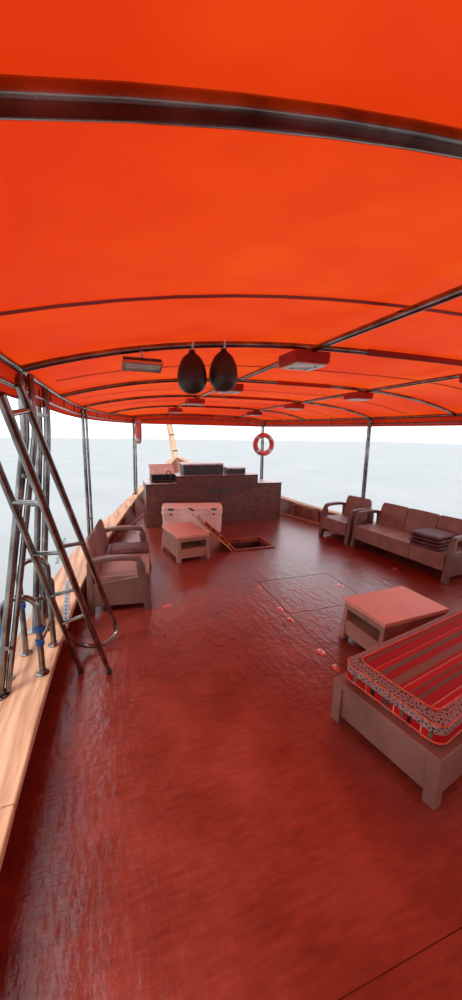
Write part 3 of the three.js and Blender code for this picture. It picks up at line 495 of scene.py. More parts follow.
# The same rattan plastic made darker: painted shade for the arms, legs and fluted sides of the seats.
RATTAN_SHADED_COPY = woven_plastic("rattan_painted_shade", ["53342c", "614036", "6e4b40"])
# The table's plastic made lighter: painted light on the table tops.
TABLE_PLASTIC_LIT = woven_plastic("table_plastic_painted_light", ["c07c68", "cc8a74", "d89a84"])
TABLE_PLASTIC = woven_plastic("table_plastic", ["8c5c4c", "9a6a58", "a87866"])
SEAT_VINYL = surface("seat_vinyl", ["3a1616", "4a2020", "582a28"], 7, rough=(0.5, 0.66), fine=120, bump=0.25,
                     edge="7a5a54", Specular_IOR_Level=0.3)
CHEST_PLASTIC = surface("chest_plastic", ["d6b0a2", "e6c2b4", "f0cec0"], 2.5, rough=(0.35, 0.5), bump=0.12,
                        edge="f0e6dc")
DARK_BOX = surface("dark_box", ["101215", "1a1d21", "24282d"], 6, rough=(0.35, 0.55), edge="50565c")
WHITE_PLASTIC = surface("white_plastic", ["a9aeb2", "c9cdd0", "dcdfe1"], 4, rough=(0.25, 0.4), bump=0.08)
LENS = surface("lens", ["e8e4da", "f2efe8"], 30, rough=(0.2, 0.35), bump=0.1)
STRIPES = woven_stripes("woven_cloth")
BORDER = woven_border("woven_border")
PIPING = surface("piping", ["9c2c12", "c0451f", "d0552a"], 40, rough=(0.7, 0.85), fine=300, bump=0.4, Sheen_Weight=0.2)
BLUE_WEBBING = surface("blue_webbing", ["14305c", "1f4a86", "2d62a6"], 40, rough=(0.7, 0.9), fine=260, bump=0.5)
GALVANISED = surface("galvanised", ["77797a", "909293", "a6a8a8"], 22, rough=(0.4, 0.6), bump=0.2, Metallic=0.7)
WELL_PAINT = surface("well_paint", ["2a0f0b", "41201a", "52302a"], 4, rough=(0.5, 0.7), bump=0.4)


# Meshes
BEVEL_ANGLE = 34
MERGE_DISTANCE = 0.0002
CORNERS = ((-1, -1), (1, -1), (1, 1), (-1, 1))
X_WAY, Y_WAY, Z_WAY = (Vector(way) for way in ((1, 0, 0), (0, 1, 0), (0, 0, 1)))


def turns(count, shift=0.0):
    """Angles that divide a full turn evenly."""
    return [2 * math.pi * (k + shift) / count for k in range(count)]


def circle(centre, radius, count, u=X_WAY, v=Y_WAY):
    return [Vector(centre) + radius * (math.cos(a) * u + math.sin(a) * v) for a in turns(count)]


class Shape:
    """Closed forms gathered into one mesh, each face with a material index and a tone."""

    def __init__(self):
        self.points = []
        self.faces = []
        self.paints = []
        self.tones = []

    def face(self, corners, paint=0, tone=0.5):
        self.faces.append(tuple(corners))
        self.paints.append(paint)
        self.tones.append(tone)

    def skin(self, rings, paint=0, tone=0.5, caps=True, loop=False, open_ring=False):
        """Joins rings of equal length. paint and tone may be functions of (row, column)."""
        first, count = len(self.points), len(rings[0])
        self.points += [tuple(p) for ring in rings for p in ring]
        for row in range(len(rings) if loop else len(rings) - 1):
            a = first + row * count
            b = first + (row + 1) % len(rings) * count
            for k in range(count - 1 if open_ring else count):
                j = (k + 1) % count
                self.face(
                    (a + k, a + j, b + j, b + k),
                    paint(row, k) if callable(paint) else paint,
                    tone(row, k) if callable(tone) else tone,
                )
        if caps and not loop:
            for ring in (0, len(rings) - 1):
                self.face(
                    range(first + ring * count, first + (ring + 1) * count),
                    paint(ring, -1) if callable(paint) else paint,
                    tone(ring, -1) if callable(tone) else tone,
                )
        return self

    def box(self, size, at, turn=None, paint=0, tone=0.5, taper=1.0):
        """A box centred on at; turn is a matrix or degrees about Z; taper scales its top."""
        turn = Matrix.Rotation(math.radians(turn or 0), 3, "Z") if not isinstance(turn, Matrix) else turn
        rings = []
        for end, share in ((-1, 1), (1, taper)):
            rings.append([
                Vector(at) + turn @ Vector((i * share * size[0] / 2, j * share * size[1] / 2, end * size[2] / 2))
                for i, j in CORNERS
            ])
        return self.skin(rings, paint, tone)

    def tube(self, path, radius, sides=12, paint=0, tone=0.5, loop=False, caps=True):
        """A round tube along a path; radius may be one number for each point."""
        path = [Vector(p) for p in path]
        count = len(path)
        side = None
        rings = []
        for k, point in enumerate(path):
            before = path[k - 1] if k or loop else point
            after = path[(k + 1) % count] if k < count - 1 or loop else point
            ahead = (after - before).normalized()
            side = ahead.orthogonal() if side is None else side - ahead * side.dot(ahead)
            side.normalize()
            other = ahead.cross(side)
            r = radius[k] if hasattr(radius, "__len__") else radius
            rings.append(circle(point, r, sides, side, other))
        return self.skin(rings, paint, tone, caps=caps, loop=loop)

    def lathe(self, profile, at, axis="Z", sides=24, paint=0, tone=0.5):
        """Turns (radius, height) pairs about an axis through at; a first or last radius of 0 becomes a tiny cap."""
        along, u, v = {"X": (X_WAY, Y_WAY, Z_WAY), "Y": (Y_WAY, Z_WAY, X_WAY), "Z": (Z_WAY, X_WAY, Y_WAY)}[axis]
        rings = []
        for radius, height in profile:
            rings.append(circle(Vector(at) + height * along, max(radius, 0.0005), sides, u, v))
        return self.skin(rings, paint, tone)


def applied(obj):
    """The object's mesh with its modifiers applied, which are then removed."""
    depsgraph = bpy.context.evaluated_depsgraph_get()
    made = bpy.data.meshes.new_from_object(obj.evaluated_get(depsgraph), depsgraph=depsgraph)
    obj.modifiers.clear()
    return made


def closed_mesh(name, shape):
    """A shape's mesh with its faces turned outwards."""
    mesh = bpy.data.meshes.new(name)
    mesh.from_pydata(shape.points, [], shape.faces)
    bm = bmesh.new()
    bm.from_mesh(mesh)
    bmesh.ops.recalc_face_normals(bm, faces=bm.faces)
    bm.to_mesh(mesh)
    bm.free()
    return mesh


def settle(name, mesh, slot, body, nodes, bevel, segments, crease, place):
    """Makes the piece: bevels the mesh, shades it, and joins it to its body."""
    obj = linked(name, mesh)
    if place is not None:
        obj.matrix_world = place
    if bevel:
        cut = obj.modifiers.new("bevel", "BEVEL")
        cut.width = bevel
        cut.segments = segments
        cut.limit_method = "ANGLE"
        cut.angle_limit = math.radians(BEVEL_ANGLE)
        cut.harden_normals = False
        obj.data = applied(obj)
    obj.data.polygons.foreach_set("use_smooth", [True] * len(obj.data.polygons))
    obj.data.set_sharp_from_angle(angle=math.radians(crease))
    if bevel:
        even = obj.modifiers.new("even", "WEIGHTED_NORMAL")
        even.keep_sharp = True
        obj.data = applied(obj)
    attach(obj, body)
    if nodes:
        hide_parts(*nodes)
    return obj


def put(name, shape, paints, slot, body="hull", nodes=(), bevel=0.0, segments=2, crease=38, place=None, weld=0.0):
    """Makes a piece of a shape, in its paints and with the tones of its faces."""
    mesh = bpy.data.meshes.new(name)
    mesh.from_pydata(shape.points, [], shape.faces)
    for paint in paints:
        mesh.materials.append(paint)
    mesh.polygons.foreach_set("material_index", shape.paints)
    tones = mesh.color_attributes.new("tone", "FLOAT_COLOR", "CORNER")
    shades = [t for face, t in zip(shape.faces, shape.tones) for _ in face]
    tones.data.foreach_set("color", [c for t in shades for c in (t, t, t, 1)])
    bm = bmesh.new()
    bm.from_mesh(mesh)
    if weld:
        bmesh.ops.remove_doubles(bm, verts=bm.verts, dist=weld)
    bmesh.ops.recalc_face_normals(bm, faces=bm.faces)
    bm.to_mesh(mesh)
    bm.free()
    return settle(name, mesh, slot, body, nodes, bevel, segments, crease, place)


def dressed(node, paints, slot, bevel=0.006, choose=None, segments=2, cutters=None, name=None):
    """A copy of a CAD node with rounded edges. choose gives a face's material index from its middle and normal."""
    source = frame["nodes"][node]
    mesh = source.data.copy()
    old_normals = mesh.attributes.get("custom_normal")
    if old_normals:
        mesh.attributes.remove(old_normals)
    mesh.materials.clear()
    for paint in paints:
        mesh.materials.append(paint)
    bm = bmesh.new()
    bm.from_mesh(mesh)
    bmesh.ops.remove_doubles(bm, verts=bm.verts, dist=MERGE_DISTANCE)
    bmesh.ops.dissolve_limit(bm, angle_limit=math.radians(1), verts=bm.verts, edges=bm.edges)
    bmesh.ops.recalc_face_normals(bm, faces=bm.faces)
    for face in bm.faces:
        face.material_index = choose(face.calc_center_median(), face.normal) if choose else 0
    bm.to_mesh(mesh)
    bm.free()
    if cutters:
        mesh = carved(mesh, cutters)
    return settle(name or node + "_dressed", mesh, slot, source["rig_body"], [node], bevel, segments, 38, None)


def carved(mesh, cutters):
    """The mesh with a shape's forms cut out of it."""
    tool = linked("tool", closed_mesh("tool", cutters))
    blank = linked("blank", mesh)
    cut = blank.modifiers.new("cut", "BOOLEAN")
    cut.operation = "DIFFERENCE"
    cut.object = tool
    cut.solver = "EXACT"
    made = applied(blank)
    for obj in (tool, blank):
        bpy.data.objects.remove(obj)
    return made


def placed(x, y, z, turn=0.0):
    return Matrix.Translation((x, y, z)) @ Matrix.Rotation(math.radians(turn), 4, "Z")


def curve_through(points, steps):
    """Points along a smooth curve through the given ones."""
    points = [Vector(p) for p in points]
    out = []
    for n in range(len(points) - 1):
        a, b, c, d = (points[min(max(n + k, 0), len(points) - 1)] for k in (-1, 0, 1, 2))
        for s in range(steps):
            t = s / steps
            turning = (2 * a - 5 * b + 4 * c - d) * t**2
            out.append(0.5 * (2 * b + (c - a) * t + turning + (3 * b - a - 3 * c + d) * t**3))
    return out + [points[-1]]


def rectangle(x0, y0, x1, y1, z):
    return [(x0, y0, z), (x1, y0, z), (x1, y1, z), (x0, y1, z)]


def squircle(a, power):
    """The point at angle a of a rounded square with half sides of 1."""
    reach = (abs(math.cos(a)) ** power + abs(math.sin(a)) ** power) ** (-1 / power)
    return reach * math.cos(a), reach * math.sin(a)


def span(start, end, step):
    count = max(1, round((end - start) / step))
    return [start + (end - start) * k / count for k in range(count + 1)]


# Hull: planked skin, wales, transom, stem and keel
STRAKES = 13
PLANK_SEAM = 0.0026
SEAM_DEPTH = 0.008
HULL_FLOOR_Z = 0.2
PLANK_LENGTH_SHARE = 0.27
PLANK_SHIFT = 0.37
PLANK_SHADES = 12
THINNEST_SHELL = 0.012
WALES = ((0.30, 0.15, 0.045), (0.72, 0.11, 0.032))
SHEER_MOULDING = (0.035, 0.05, 0.03)
BAND_PROFILE = ((-0.5, -0.03), (-0.5, 0.55), (-0.32, 0.95), (0, 1.0), (0.32, 0.95), (0.5, 0.55), (0.5, -0.03))


def hull_shell():
    """The planked skin, the bulwarks' inner face and the shell's inside down to its floor, as one closed form."""
    shape = Shape()
    rows = []
    for k in range(STRAKES):
        low, high = k / STRAKES, (k + 1) / STRAKES
        rows.append((low + (PLANK_SEAM if k else 0), 0.0))
        rows += [(low + (high - low) * t, 0.0) for t in (0.33, 0.67)]
        rows += [(high - PLANK_SEAM, 0.0), (high, SEAM_DEPTH)] if k < STRAKES - 1 else [(1.0, 0.0)]
    strake_of = [min(STRAKES - 1, int((rows[r][0] + rows[min(r + 1, len(rows) - 1)][0]) / 2 * STRAKES))
                 for r in range(len(rows))]
    random.seed(11)
    shade = {(s, p): random.random() for s in range(STRAKES) for p in range(PLANK_SHADES)}
    rings = []
    lines = stations(72)
    for f in lines:
        top = sheer_z(f)
        side = []
        for share, inset in rows:
            z = KEEL_Z + share * (top - KEEL_Z)
            side.append((hull_x(f, z) - inset, hull_y(f, z), z))
        for z in (top, DECK_Z + 0.03, DECK_Z - 0.06, 0.7, HULL_FLOOR_Z):
            side.append((max(hull_x(f, z) - BULWARK_THICK, THINNEST_SHELL), hull_y(f, z), z))
        rings.append(side + [(-x, y, z) for x, y, z in reversed(side)])
    count = len(rings[0])
    outer = len(rows)

    def column(k):
        return k if k < count / 2 else count - 2 - k

    def paint(row, k):
        return 1 if k >= 0 and outer - 1 <= column(k) < count / 2 else 0

    def tone(row, k):
        if k < 0 or column(k) >= outer - 1 or k == count - 1:
            return 0.4
        strake = strake_of[column(k)]
        plank = int(lines[row] / PLANK_LENGTH_SHARE + PLANK_SHIFT * strake)
        return shade[strake, plank % PLANK_SHADES]

    shape.skin(rings, paint, tone)
    return put("hull_planking", shape, [HULL_TIMBER, LINING_PAINT], "hull_timber",
               nodes=["hull", "bulwark_port", "bulwark_starboard"], crease=30)


def side_band(shape, side, drop, height, proud):
    """A rounded timber that follows the sheer, drop below it."""
    rings = []
    for f in stations(60):
        ring = []
        for rise, out in BAND_PROFILE:
            z = sheer_z(f) - drop + rise * height
            reach = hull_x(f, z) + (out * proud if out > 0 else out)
            ring.append((side * reach, hull_y(f, z), z))
        rings.append(ring)
    shape.skin(rings)


def wales():
    for name, side in SIDES.items():
        shape = Shape()
        for wale in WALES:
            side_band(shape, side, *wale)
        put(f"wales_{name}", shape, [WALE_TIMBER], "hull_timber", crease=50)
        trim = Shape()
        side_band(trim, side, *SHEER_MOULDING)
        put(f"sheer_moulding_{name}", trim, [LIGHT_TIMBER], "light_timber", crease=50)


TRANSOM_PLANKS = 15
TRANSOM_SEAM = 0.004
TRANSOM_THICK = 0.1
CORNER_TRIM = {"out": 0.012, "in": 0.11, "front": 0.02, "back": 0.045}


def transom():
    boards = Shape()
    random.seed(5)
    top = sheer_z(1)
    for k in range(TRANSOM_PLANKS):
        low = KEEL_Z + (top - KEEL_Z) * k / TRANSOM_PLANKS + TRANSOM_SEAM
        high = KEEL_Z + (top - KEEL_Z) * (k + 1) / TRANSOM_PLANKS - TRANSOM_SEAM
        rings = []
        for t in (0, 0.33, 0.67, 1):
            z = low + (high - low) * t
            half = max(hull_x(1, z) - 0.035, 0.03)
            y = transom_y(z) + 0.012
            rings.append(rectangle(half, y, -half, y - TRANSOM_THICK, z))
        boards.skin(rings, 0, random.random())
    put("transom_planking", boards, [TRANSOM_TIMBER], "hull_timber", nodes=["transom_board"], bevel=0.006)
    trim = Shape()
    for side in (1, -1):
        rings = []
        for z in span(0.3, top, 0.12):
            outer, inner = side * (hull_x(1, z) + CORNER_TRIM["out"]), side * (hull_x(1, z) - CORNER_TRIM["in"])
            front, back = transom_y(z) - CORNER_TRIM["front"], transom_y(z) + CORNER_TRIM["back"]
            rings.append([(outer, front, z), (outer, back, z), (inner, back, z), (inner, front, z)])
        trim.skin(rings)
    for z, height in ((1.25, 0.11), (top - 0.06, 0.1)):
        half = hull_x(1, z) - 0.1
        trim.box((2 * half, 0.05, height), (0, transom_y(z) + 0.03, z))
    put("transom_trim", trim, [CROSS_TIMBER], "light_timber", bevel=0.01)


STOCK_Y = 10.15
STRAPS = ((-0.85, 0.6), (-0.25, 0.55), (0.35, 0.42))


def stern_details():
    """Stem, keel, posts, taffrail and rudder, with the rudder's iron straps and the stem's bands."""
    for node, paint, slot, bevel, segments in (
        ("taffrail", CROSS_TIMBER, "light_timber", 0.014, 3), ("stem_post", STEM_TIMBER, "light_timber", 0.018, 3),
        ("keel", HULL_TIMBER, "hull_timber", 0.012, 2), ("stern_post", HULL_TIMBER, "hull_timber", 0.01, 2),
        ("rudder", HULL_TIMBER, "hull_timber", 0.01, 2),
    ):
        dressed(node, [paint], slot, bevel, segments=segments)
    straps = Shape()
    for z, reach in STRAPS:
        straps.box((0.088, reach, 0.06), (0, STOCK_Y + reach / 2 - 0.02, z))
        straps.lathe([(0, -0.06), (0.062, -0.06), (0.062, 0.06), (0, 0.06)], (0, STOCK_Y, z), "Z", 20)
        for k in range(4):
            for side in (1, -1):
                at = (side * 0.045, STOCK_Y + 0.09 + k * reach / 5, z)
                straps.lathe([(0, -0.004), (0.012, -0.003), (0.009, 0.004), (0, 0.006)], at, "X", 10)
    put("rudder_straps", straps, [DARK_IRON], "dark_iron", "rudder", bevel=0.004)
    stem_bands = Shape()
    for z in (2.6, 3.15):
        y = stem_y(z)
        slope = Matrix.Rotation(-math.atan(STEM_RAKE), 3, "X")
        stem_bands.box((0.166, 0.05, 0.07), (0, y - 0.03, z), slope)
    put("bow_hook", stem_bands, [DARK_IRON], "dark_iron", bevel=0.004)


CAP_JOINTS = (0.0, 0.13, 0.27, 0.41, 0.545, 0.68, 0.82, 1.0)
HALF_JOINT = 0.00012
RIB_STEP = 0.72
MARGIN_WIDE = 0.11


def cap_rails():
    """Boards with open joints, broad over the open deck on the port side."""
    random.seed(3)
    for name, side in SIDES.items():
        shape = Shape()
        for start, end in zip(CAP_JOINTS, CAP_JOINTS[1:]):
            rings = []
            fine = [start + (end - start) * k / 8 for k in range(9)]
            fine[0] += HALF_JOINT if start else 0
            fine[-1] -= HALF_JOINT if end < 1 else 0
            for f in fine:
                low = sheer_z(f) + 0.0003
                y = hull_y(f, sheer_z(f))
                edge = hull_x(f, sheer_z(f))
                fade = min(1, max(0, (f - 0.16) / 0.14), max(0, (0.86 - f) / 0.1))
                lip = CAP_INNER[-1] + (CAP_INNER[side] - CAP_INNER[-1]) * fade
                inner, outer = side * max(edge - BULWARK_THICK - lip, 0.008), side * (edge + CAP_OUTER)
                high = low + CAP_THICK
                rings.append([(outer, y, low), (outer, y, high), (inner, y, high), (inner, y, low)])
            shape.skin(rings, 0, random.random())
        put(f"cap_boards_{name}", shape, [LIGHT_TIMBER], "light_timber", nodes=[f"cap_rail_{name}"], bevel=0.011,
            segments=3)


def bulwark_lining():
    """Timber heads inside the bulwarks and a margin plank along the deck's edge."""
    for name, side in SIDES.items():
        ribs = Shape()
        for y in span(-6.9, 9.1, RIB_STEP):
            low = DECK_Z + 0.001 + (QUARTERDECK_HIGH if y > QUARTERDECK_Y else 0)
            high = sheer_at(y)[1] - 0.002
            middle = (low + high) / 2
            x = hull_x(station_at(y, middle), middle) - BULWARK_THICK - 0.024
            if x > 0.3 and high - low > 0.12:
                ribs.box((0.05, 0.06, high - low), (side * x, y, middle))
        put(f"bulwark_ribs_{name}", ribs, [LINING_PAINT], "deck_paint", bevel=0.006)
        margin = Shape()
        rings = []
        for y in span(-7.2, QUARTERDECK_Y - 0.04, 0.3):
            x = hull_x(station_at(y, DECK_Z), DECK_Z) - BULWARK_THICK
            profile = ((0.002, -0.03), (0.002, 0.024), (-MARGIN_WIDE, 0.024), (-MARGIN_WIDE, 0.0005), (-0.014, 0.0005),
                       (-0.014, -0.03))
            rings.append([(side * (x + out), y, DECK_Z + rise) for out, rise in profile])
        margin.skin(rings)
        # The starboard margin plank is in the pale timber as a painted sunlit strip; the port one is red timber.
        put(f"deck_margin_{name}", margin, [CROSS_TIMBER if side < 0 else RED_TIMBER], "light_timber", bevel=0.005)


hull_shell()
wales()
transom()
stern_details()
cap_rails()
bulwark_lining()


# Propeller and steering
HUB = Vector((0, 9.985, -0.52))
WHEEL = Vector((0, 6.7406, 2.5406))
WHEEL_RADIUS = 0.34
WHEEL_RIM_R = 0.024
WHEEL_BOSS = ((0, -0.03), (0.03, -0.03), (0.055, -0.022), (0.055, 0.022), (0.03, 0.03), (0, 0.03))
SPOKE = ((0.05, 0.013), (0.12, 0.012), (0.15, 0.018), (0.18, 0.012), (0.3, 0.013), (0.34, 0.014), (0.375, 0.012),
         (0.39, 0.017), (0.43, 0.018), (0.455, 0.011), (0.468, 0.004))
DIAL = ((0.05, -0.012), (0.05, 0.012), (0.042, 0.014), (0.04, 0.008), (0.0005, 0.008))
DIAL_XS = (-0.14, 0, 0.14)
SCREW_BOSS = ((0, -0.075), (0.03, -0.07), (0.052, -0.059), (0.062, -0.03), (0.062, 0.03), (0.05, 0.059), (0, 0.062))
BLADE = {"root": 0.045, "reach": 0.341, "thick": 0.02, "steepest": 62, "twist": 34}


def screw():
    """Four blades whose pitch falls towards the tip, on a rounded hub."""
    shape = Shape()
    shape.lathe(SCREW_BOSS, HUB, "Y", 24)
    for turn in turns(4, 0.5):
        spin = Matrix.Rotation(turn, 3, "Y")
        rings = []
        for t in [k / 10 for k in range(11)]:
            radius = BLADE["root"] + BLADE["reach"] * t
            chord = 0.1 + 0.15 * math.sin(math.pi * min(1, 0.2 + 0.72 * t)) if t < 1 else 0.06
            thick = BLADE["thick"] * (1 - 0.75 * t)
            pitch = math.radians(BLADE["steepest"] - BLADE["twist"] * t)
            ring = []
            for a in turns(12):
                c, n = chord / 2 * math.cos(a), thick / 2 * math.sin(a)
                point = (c * math.cos(pitch) - n * math.sin(pitch), c * math.sin(pitch) + n * math.cos(pitch), radius)
                ring.append(HUB + spin @ Vector(point))
            rings.append(ring)
        shape.skin(rings)
    put("propeller_cast", shape, [BRONZE], "bronze", "propeller", ["propeller"], crease=50)


def steering():
    """The stand with three dials on its slope, and a wheel with eight turned spokes."""
    dressed("helm_stand", [COUNTER_PAINT], "counter_paint", 0.012, segments=3)
    shape = Shape()
    shape.tube(circle(WHEEL, WHEEL_RADIUS, 64, X_WAY, Z_WAY), WHEEL_RIM_R, 14, loop=True)
    shape.lathe(WHEEL_BOSS, WHEEL, "Y", 24, 1)
    for a in turns(8):
        way = Vector((math.sin(a), 0, math.cos(a)))
        shape.tube([WHEEL + way * r for r, _ in SPOKE], [w for _, w in SPOKE], 12)
    put("helm_wheel_turned", shape, [RED_TIMBER, BRONZE], "light_timber", "helm_wheel", ["helm_wheel"])
    dials = Shape()
    slope = Matrix.Rotation(math.atan2(0.1, 0.3), 3, "X")
    for x in DIAL_XS:
        at = Vector((x, 6.47, 2.72))
        dials.skin([circle(at + h * (slope @ Z_WAY), r, 24, slope @ X_WAY, slope @ Y_WAY) for r, h in DIAL])
    put("helm_dials", dials, [DARK_IRON], "dark_iron")


screw()
steering()


# Deck, hatches and quarterdeck
SEAM_HATCH = {"x": (-0.715, 0.375), "y": (0.2, 1.27)}
OPEN_HATCH = {"x": -0.11, "y": -2.22, "width": 0.68, "length": 0.54, "rim": 0.045, "high": 0.03}
FLUSH_HATCH = {"x": -0.17, "y": -0.2, "width": 1.1, "length": 0.9}
CROSS_SEAMS = ((0, -3.05, 4.2), (0, 2.75, 5.4), (0, 4.6, 5.4), (1.07, -0.656, 1.36))
SEAM_WIDE = 0.005
SEAM_DEEP = 0.012
PLATE_LENGTH = 0.095
PLATE_WIDTH = 0.062
HULL_PLATES = ((0.43, -0.51, 90), (0.43, 0.12, 90), (0.43, 0.37, 90), (0.43, 0.96, 90), (0.43, 1.2, 90),
               (1.66, -0.32, 20), (-1.83, -0.5, 70), (-0.65, 0.8, 90))


DECK_NOSING = (5.695, 0.326, 0.018)
STEP_NOSING = (5.388, 0.158, 0.013)
STEP_HALF = 0.45
WELL_DEPTHS = ((OPEN_HATCH, 0.9), (FLUSH_HATCH, 0.65))
WELL_TOP = DECK_Z - 0.046
WELL_OUTER = 0.05
WELL_INNER = -0.055
WELL_FLOOR = 0.02


def deck():
    """The decks with their seams and nosings, the flush lid, and the walls of the two hatch wells."""
    seams = Shape()
    (x0, x1), (y0, y1) = SEAM_HATCH["x"], SEAM_HATCH["y"]
    high, low = DECK_Z + SEAM_DEEP, DECK_Z - SEAM_DEEP
    seams.skin([rectangle(x0 - out, y0 - out, x1 + out, y1 + out, z)
                for out, z in ((SEAM_WIDE, high), (SEAM_WIDE, low), (0, low), (0, high))], loop=True)
    for x, y, length in CROSS_SEAMS:
        seams.box((length, SEAM_WIDE, SEAM_DEEP), (x, y, DECK_Z))
    dressed("deck", [DECK_PAINT], "deck_paint", 0.0, cutters=seams, name="deck_plating")
    dressed("quarterdeck", [DECK_PAINT], "deck_paint", 0.012, segments=3)
    dressed("flush_hatch_lid", [DECK_PAINT], "deck_paint", 0.004)
    nosing = Shape()
    deck_half = hull_x(station_at(QUARTERDECK_Y, DECK_Z), DECK_Z) - 0.13
    for half, (y, rise, radius) in ((deck_half, DECK_NOSING), (STEP_HALF, STEP_NOSING)):
        nosing.tube([(-half, y, DECK_Z + rise), (half, y, DECK_Z + rise)], radius, 12)
    put("quarterdeck_nosing", nosing, [CROSS_TIMBER], "light_timber")
    wells = Shape()
    for hatch, depth in WELL_DEPTHS:
        foot = WELL_TOP - depth
        rings = []
        for more, z in ((WELL_OUTER, foot), (WELL_OUTER, WELL_TOP), (WELL_INNER, WELL_TOP),
                        (WELL_INNER, foot + WELL_FLOOR)):
            w, l = (hatch["width"] + more) / 2, (hatch["length"] + more) / 2
            rings.append(rectangle(hatch["x"] - w, hatch["y"] - l, hatch["x"] + w, hatch["y"] + l, z))
        wells.skin(rings)
    put("hatch_wells", wells, [WELL_PAINT], "deck_paint")


def plate(shape, at, turn):
    """An oval plate with a low ring in it."""
    matrix = placed(*at, turn)
    rings = []
    for scale, z in ((1.0, 0.0), (1.0, 0.002), (0.94, 0.003)):
        corners = [squircle(a, 3) for a in turns(28)]
        half_l, half_w = scale * PLATE_LENGTH / 2, scale * PLATE_WIDTH / 2
        rings.append([matrix @ Vector((half_l * u, half_w * v, z)) for u, v in corners])
    shape.skin(rings)
    loop = [matrix @ Vector((0.017 * math.cos(a), 0.013 * math.sin(a), 0.0055)) for a in turns(24)]
    shape.tube(loop, 0.0028, 8, loop=True)


def deck_metal():
    """Small plates let into the deck, one of them the flush lid's pull."""
    shape = Shape()
    # The plates' and the pull's pink tint is a painted reflection.
    for x, y, turn in HULL_PLATES:
        plate(shape, (x, y, DECK_Z), turn)
    put("deck_plates", shape, [STEEL_PAINTED_REFLECTION], "stainless")
    pull = Shape()
    plate(pull, (-0.65, -0.23, DECK_Z - 0.0003), 90)
    put("flush_hatch_pull", pull, [STEEL_PAINTED_REFLECTION], "stainless", "flush_hatch_lid")


HATCH_OPEN_ANGLE = 136
LEAF = {"drop": 0.008, "thick": 0.022, "barrel": 0.012, "edging": 0.006}
BATTEN = {"wide": 0.022, "deep": 0.062, "clear": 0.026}
BATTEN_PLACES = (0.0, 0.26, 0.62, 1.0)


def open_hatch():
    """The coaming's boards, and the leaf that leans back on it with battens on its underside."""
    x, y, width, length, rim, high = (OPEN_HATCH[k] for k in ("x", "y", "width", "length", "rim", "high"))
    coaming = Shape()
    z = DECK_Z + 0.0003 + high / 2
    for side in (-1, 1):
        at = (x, y + side * (length + rim) / 2, z)
        coaming.box((width + 2 * rim, rim, high), at, paint=(side + 1) // 2, tone=0.6)
        coaming.box((rim, length - 0.002, high), (x + side * (width + rim) / 2, y, z), tone=0.35)
        coaming.box((width, 0.02, 0.05), (x, y + side * (length / 2 - 0.01), DECK_Z - 0.024), tone=0.4)
        coaming.box((0.02, length - 0.04, 0.05), (x + side * (width / 2 - 0.01), y, DECK_Z - 0.024), tone=0.5)
    put("hatch_coaming_boards", coaming, [RED_TIMBER, DECK_PAINT], "light_timber", nodes=["hatch_coaming"], bevel=0.005)
    drop, thick, barrel, edging = (LEAF[k] for k in ("drop", "thick", "barrel", "edging"))
    wide, long = width + 2 * rim, length + 2 * rim
    middle = -wide / 2 - barrel
    base = drop + 0.001
    panel = Shape()
    for k in range(3):
        share = (long - 2 * edging) / 3
        panel.box((wide, share - 0.003, thick), (middle, (k - 1) * share, base + thick / 2), tone=0.3 + 0.2 * k)
    for side in (-1, 1):
        panel.box((wide, edging - 0.001, thick), (middle, side * (long - edging) / 2, base + thick / 2), paint=1)
    batten, deep, clear = (BATTEN[k] for k in ("wide", "deep", "clear"))
    frame_w, frame_l = width - 2 * clear, length - 2 * clear
    for share in BATTEN_PLACES:
        at = middle - frame_w / 2 + batten / 2 + share * (frame_w - batten)
        panel.box((batten, frame_l, deep), (at, 0, base + 0.001 - deep / 2), paint=1)
    panel.box((frame_w - 2 * batten, 0.014, deep - 0.008), (middle, 0.007 - frame_l / 2, base + 0.001 - deep / 2))
    for k in (-1, 1):
        panel.lathe([(0, -0.045), (0.0114, -0.045), (0.0114, 0.045), (0, 0.045)], (0, k * length / 3, 0), "Y", 18, 2)
        panel.box((0.09, 0.07, 0.006), (-0.045, k * length / 3, drop + 0.003), paint=2)
    hinge = (x + wide / 2 + barrel, y, DECK_Z + 0.0003 + high - drop)
    place = Matrix.Translation(hinge) @ Matrix.Rotation(math.radians(HATCH_OPEN_ANGLE), 4, "Y")
    put("hatch_cover_boards", panel, [DECK_PAINT, CROSS_TIMBER, DARK_IRON], "deck_paint", "hatch_cover",
        ["hatch_cover"], bevel=0.003, place=place)


BITT_CAP = (0.15, 0.15, 0.02)
BITT_HEAD = (0.26, -5.65, DECK_Z + 0.6303)


def mooring():
    """The bitts' two posts, each with a cap."""
    dressed("mooring_bitts", [RED_TIMBER], "counter_paint", 0.018, segments=3)
    caps = Shape()
    for side in (-1, 1):
        caps.box(BITT_CAP, (side * BITT_HEAD[0], *BITT_HEAD[1:]), taper=0.8)
    put("bitt_caps", caps, [DARK_IRON], "dark_iron", bevel=0.004)


deck()
deck_metal()
open_hatch()
mooring()


# Counter forward
COUNTER_FRONT = -3.796
COUNTER_MIDDLE = -4.1
COUNTER_TOPS = ((0.9, 1.54, 2.2153), (-0.94, 0.9, 2.3703), (-1.54, -0.94, 2.1753))
SINK = {"x": (0.94, 1.36), "y": (-4.33, -3.97), "top": 2.21}
TAP = {"foot": (1.02, -3.89, 2.2156), "way": (0.63, -0.77), "bend": 0.055, "rise": 0.198, "drop": 0.045}
TAP_R = 0.0105
TAP_FOOT = ((0, 0), (0.026, 0), (0.026, 0.008), (0.018, 0.014), (0.016, 0.05), (0.011, 0.056))
EDGING = {"thick": 0.012, "high": 0.026, "below": 0.014}
GRIP = ((0.56, 0.012, 0.05), (-0.04, -3.795, 2.035))
HOOD_BACK = ((0.46, 0.006, 0.16), (1.15, -4.376, 2.2953))


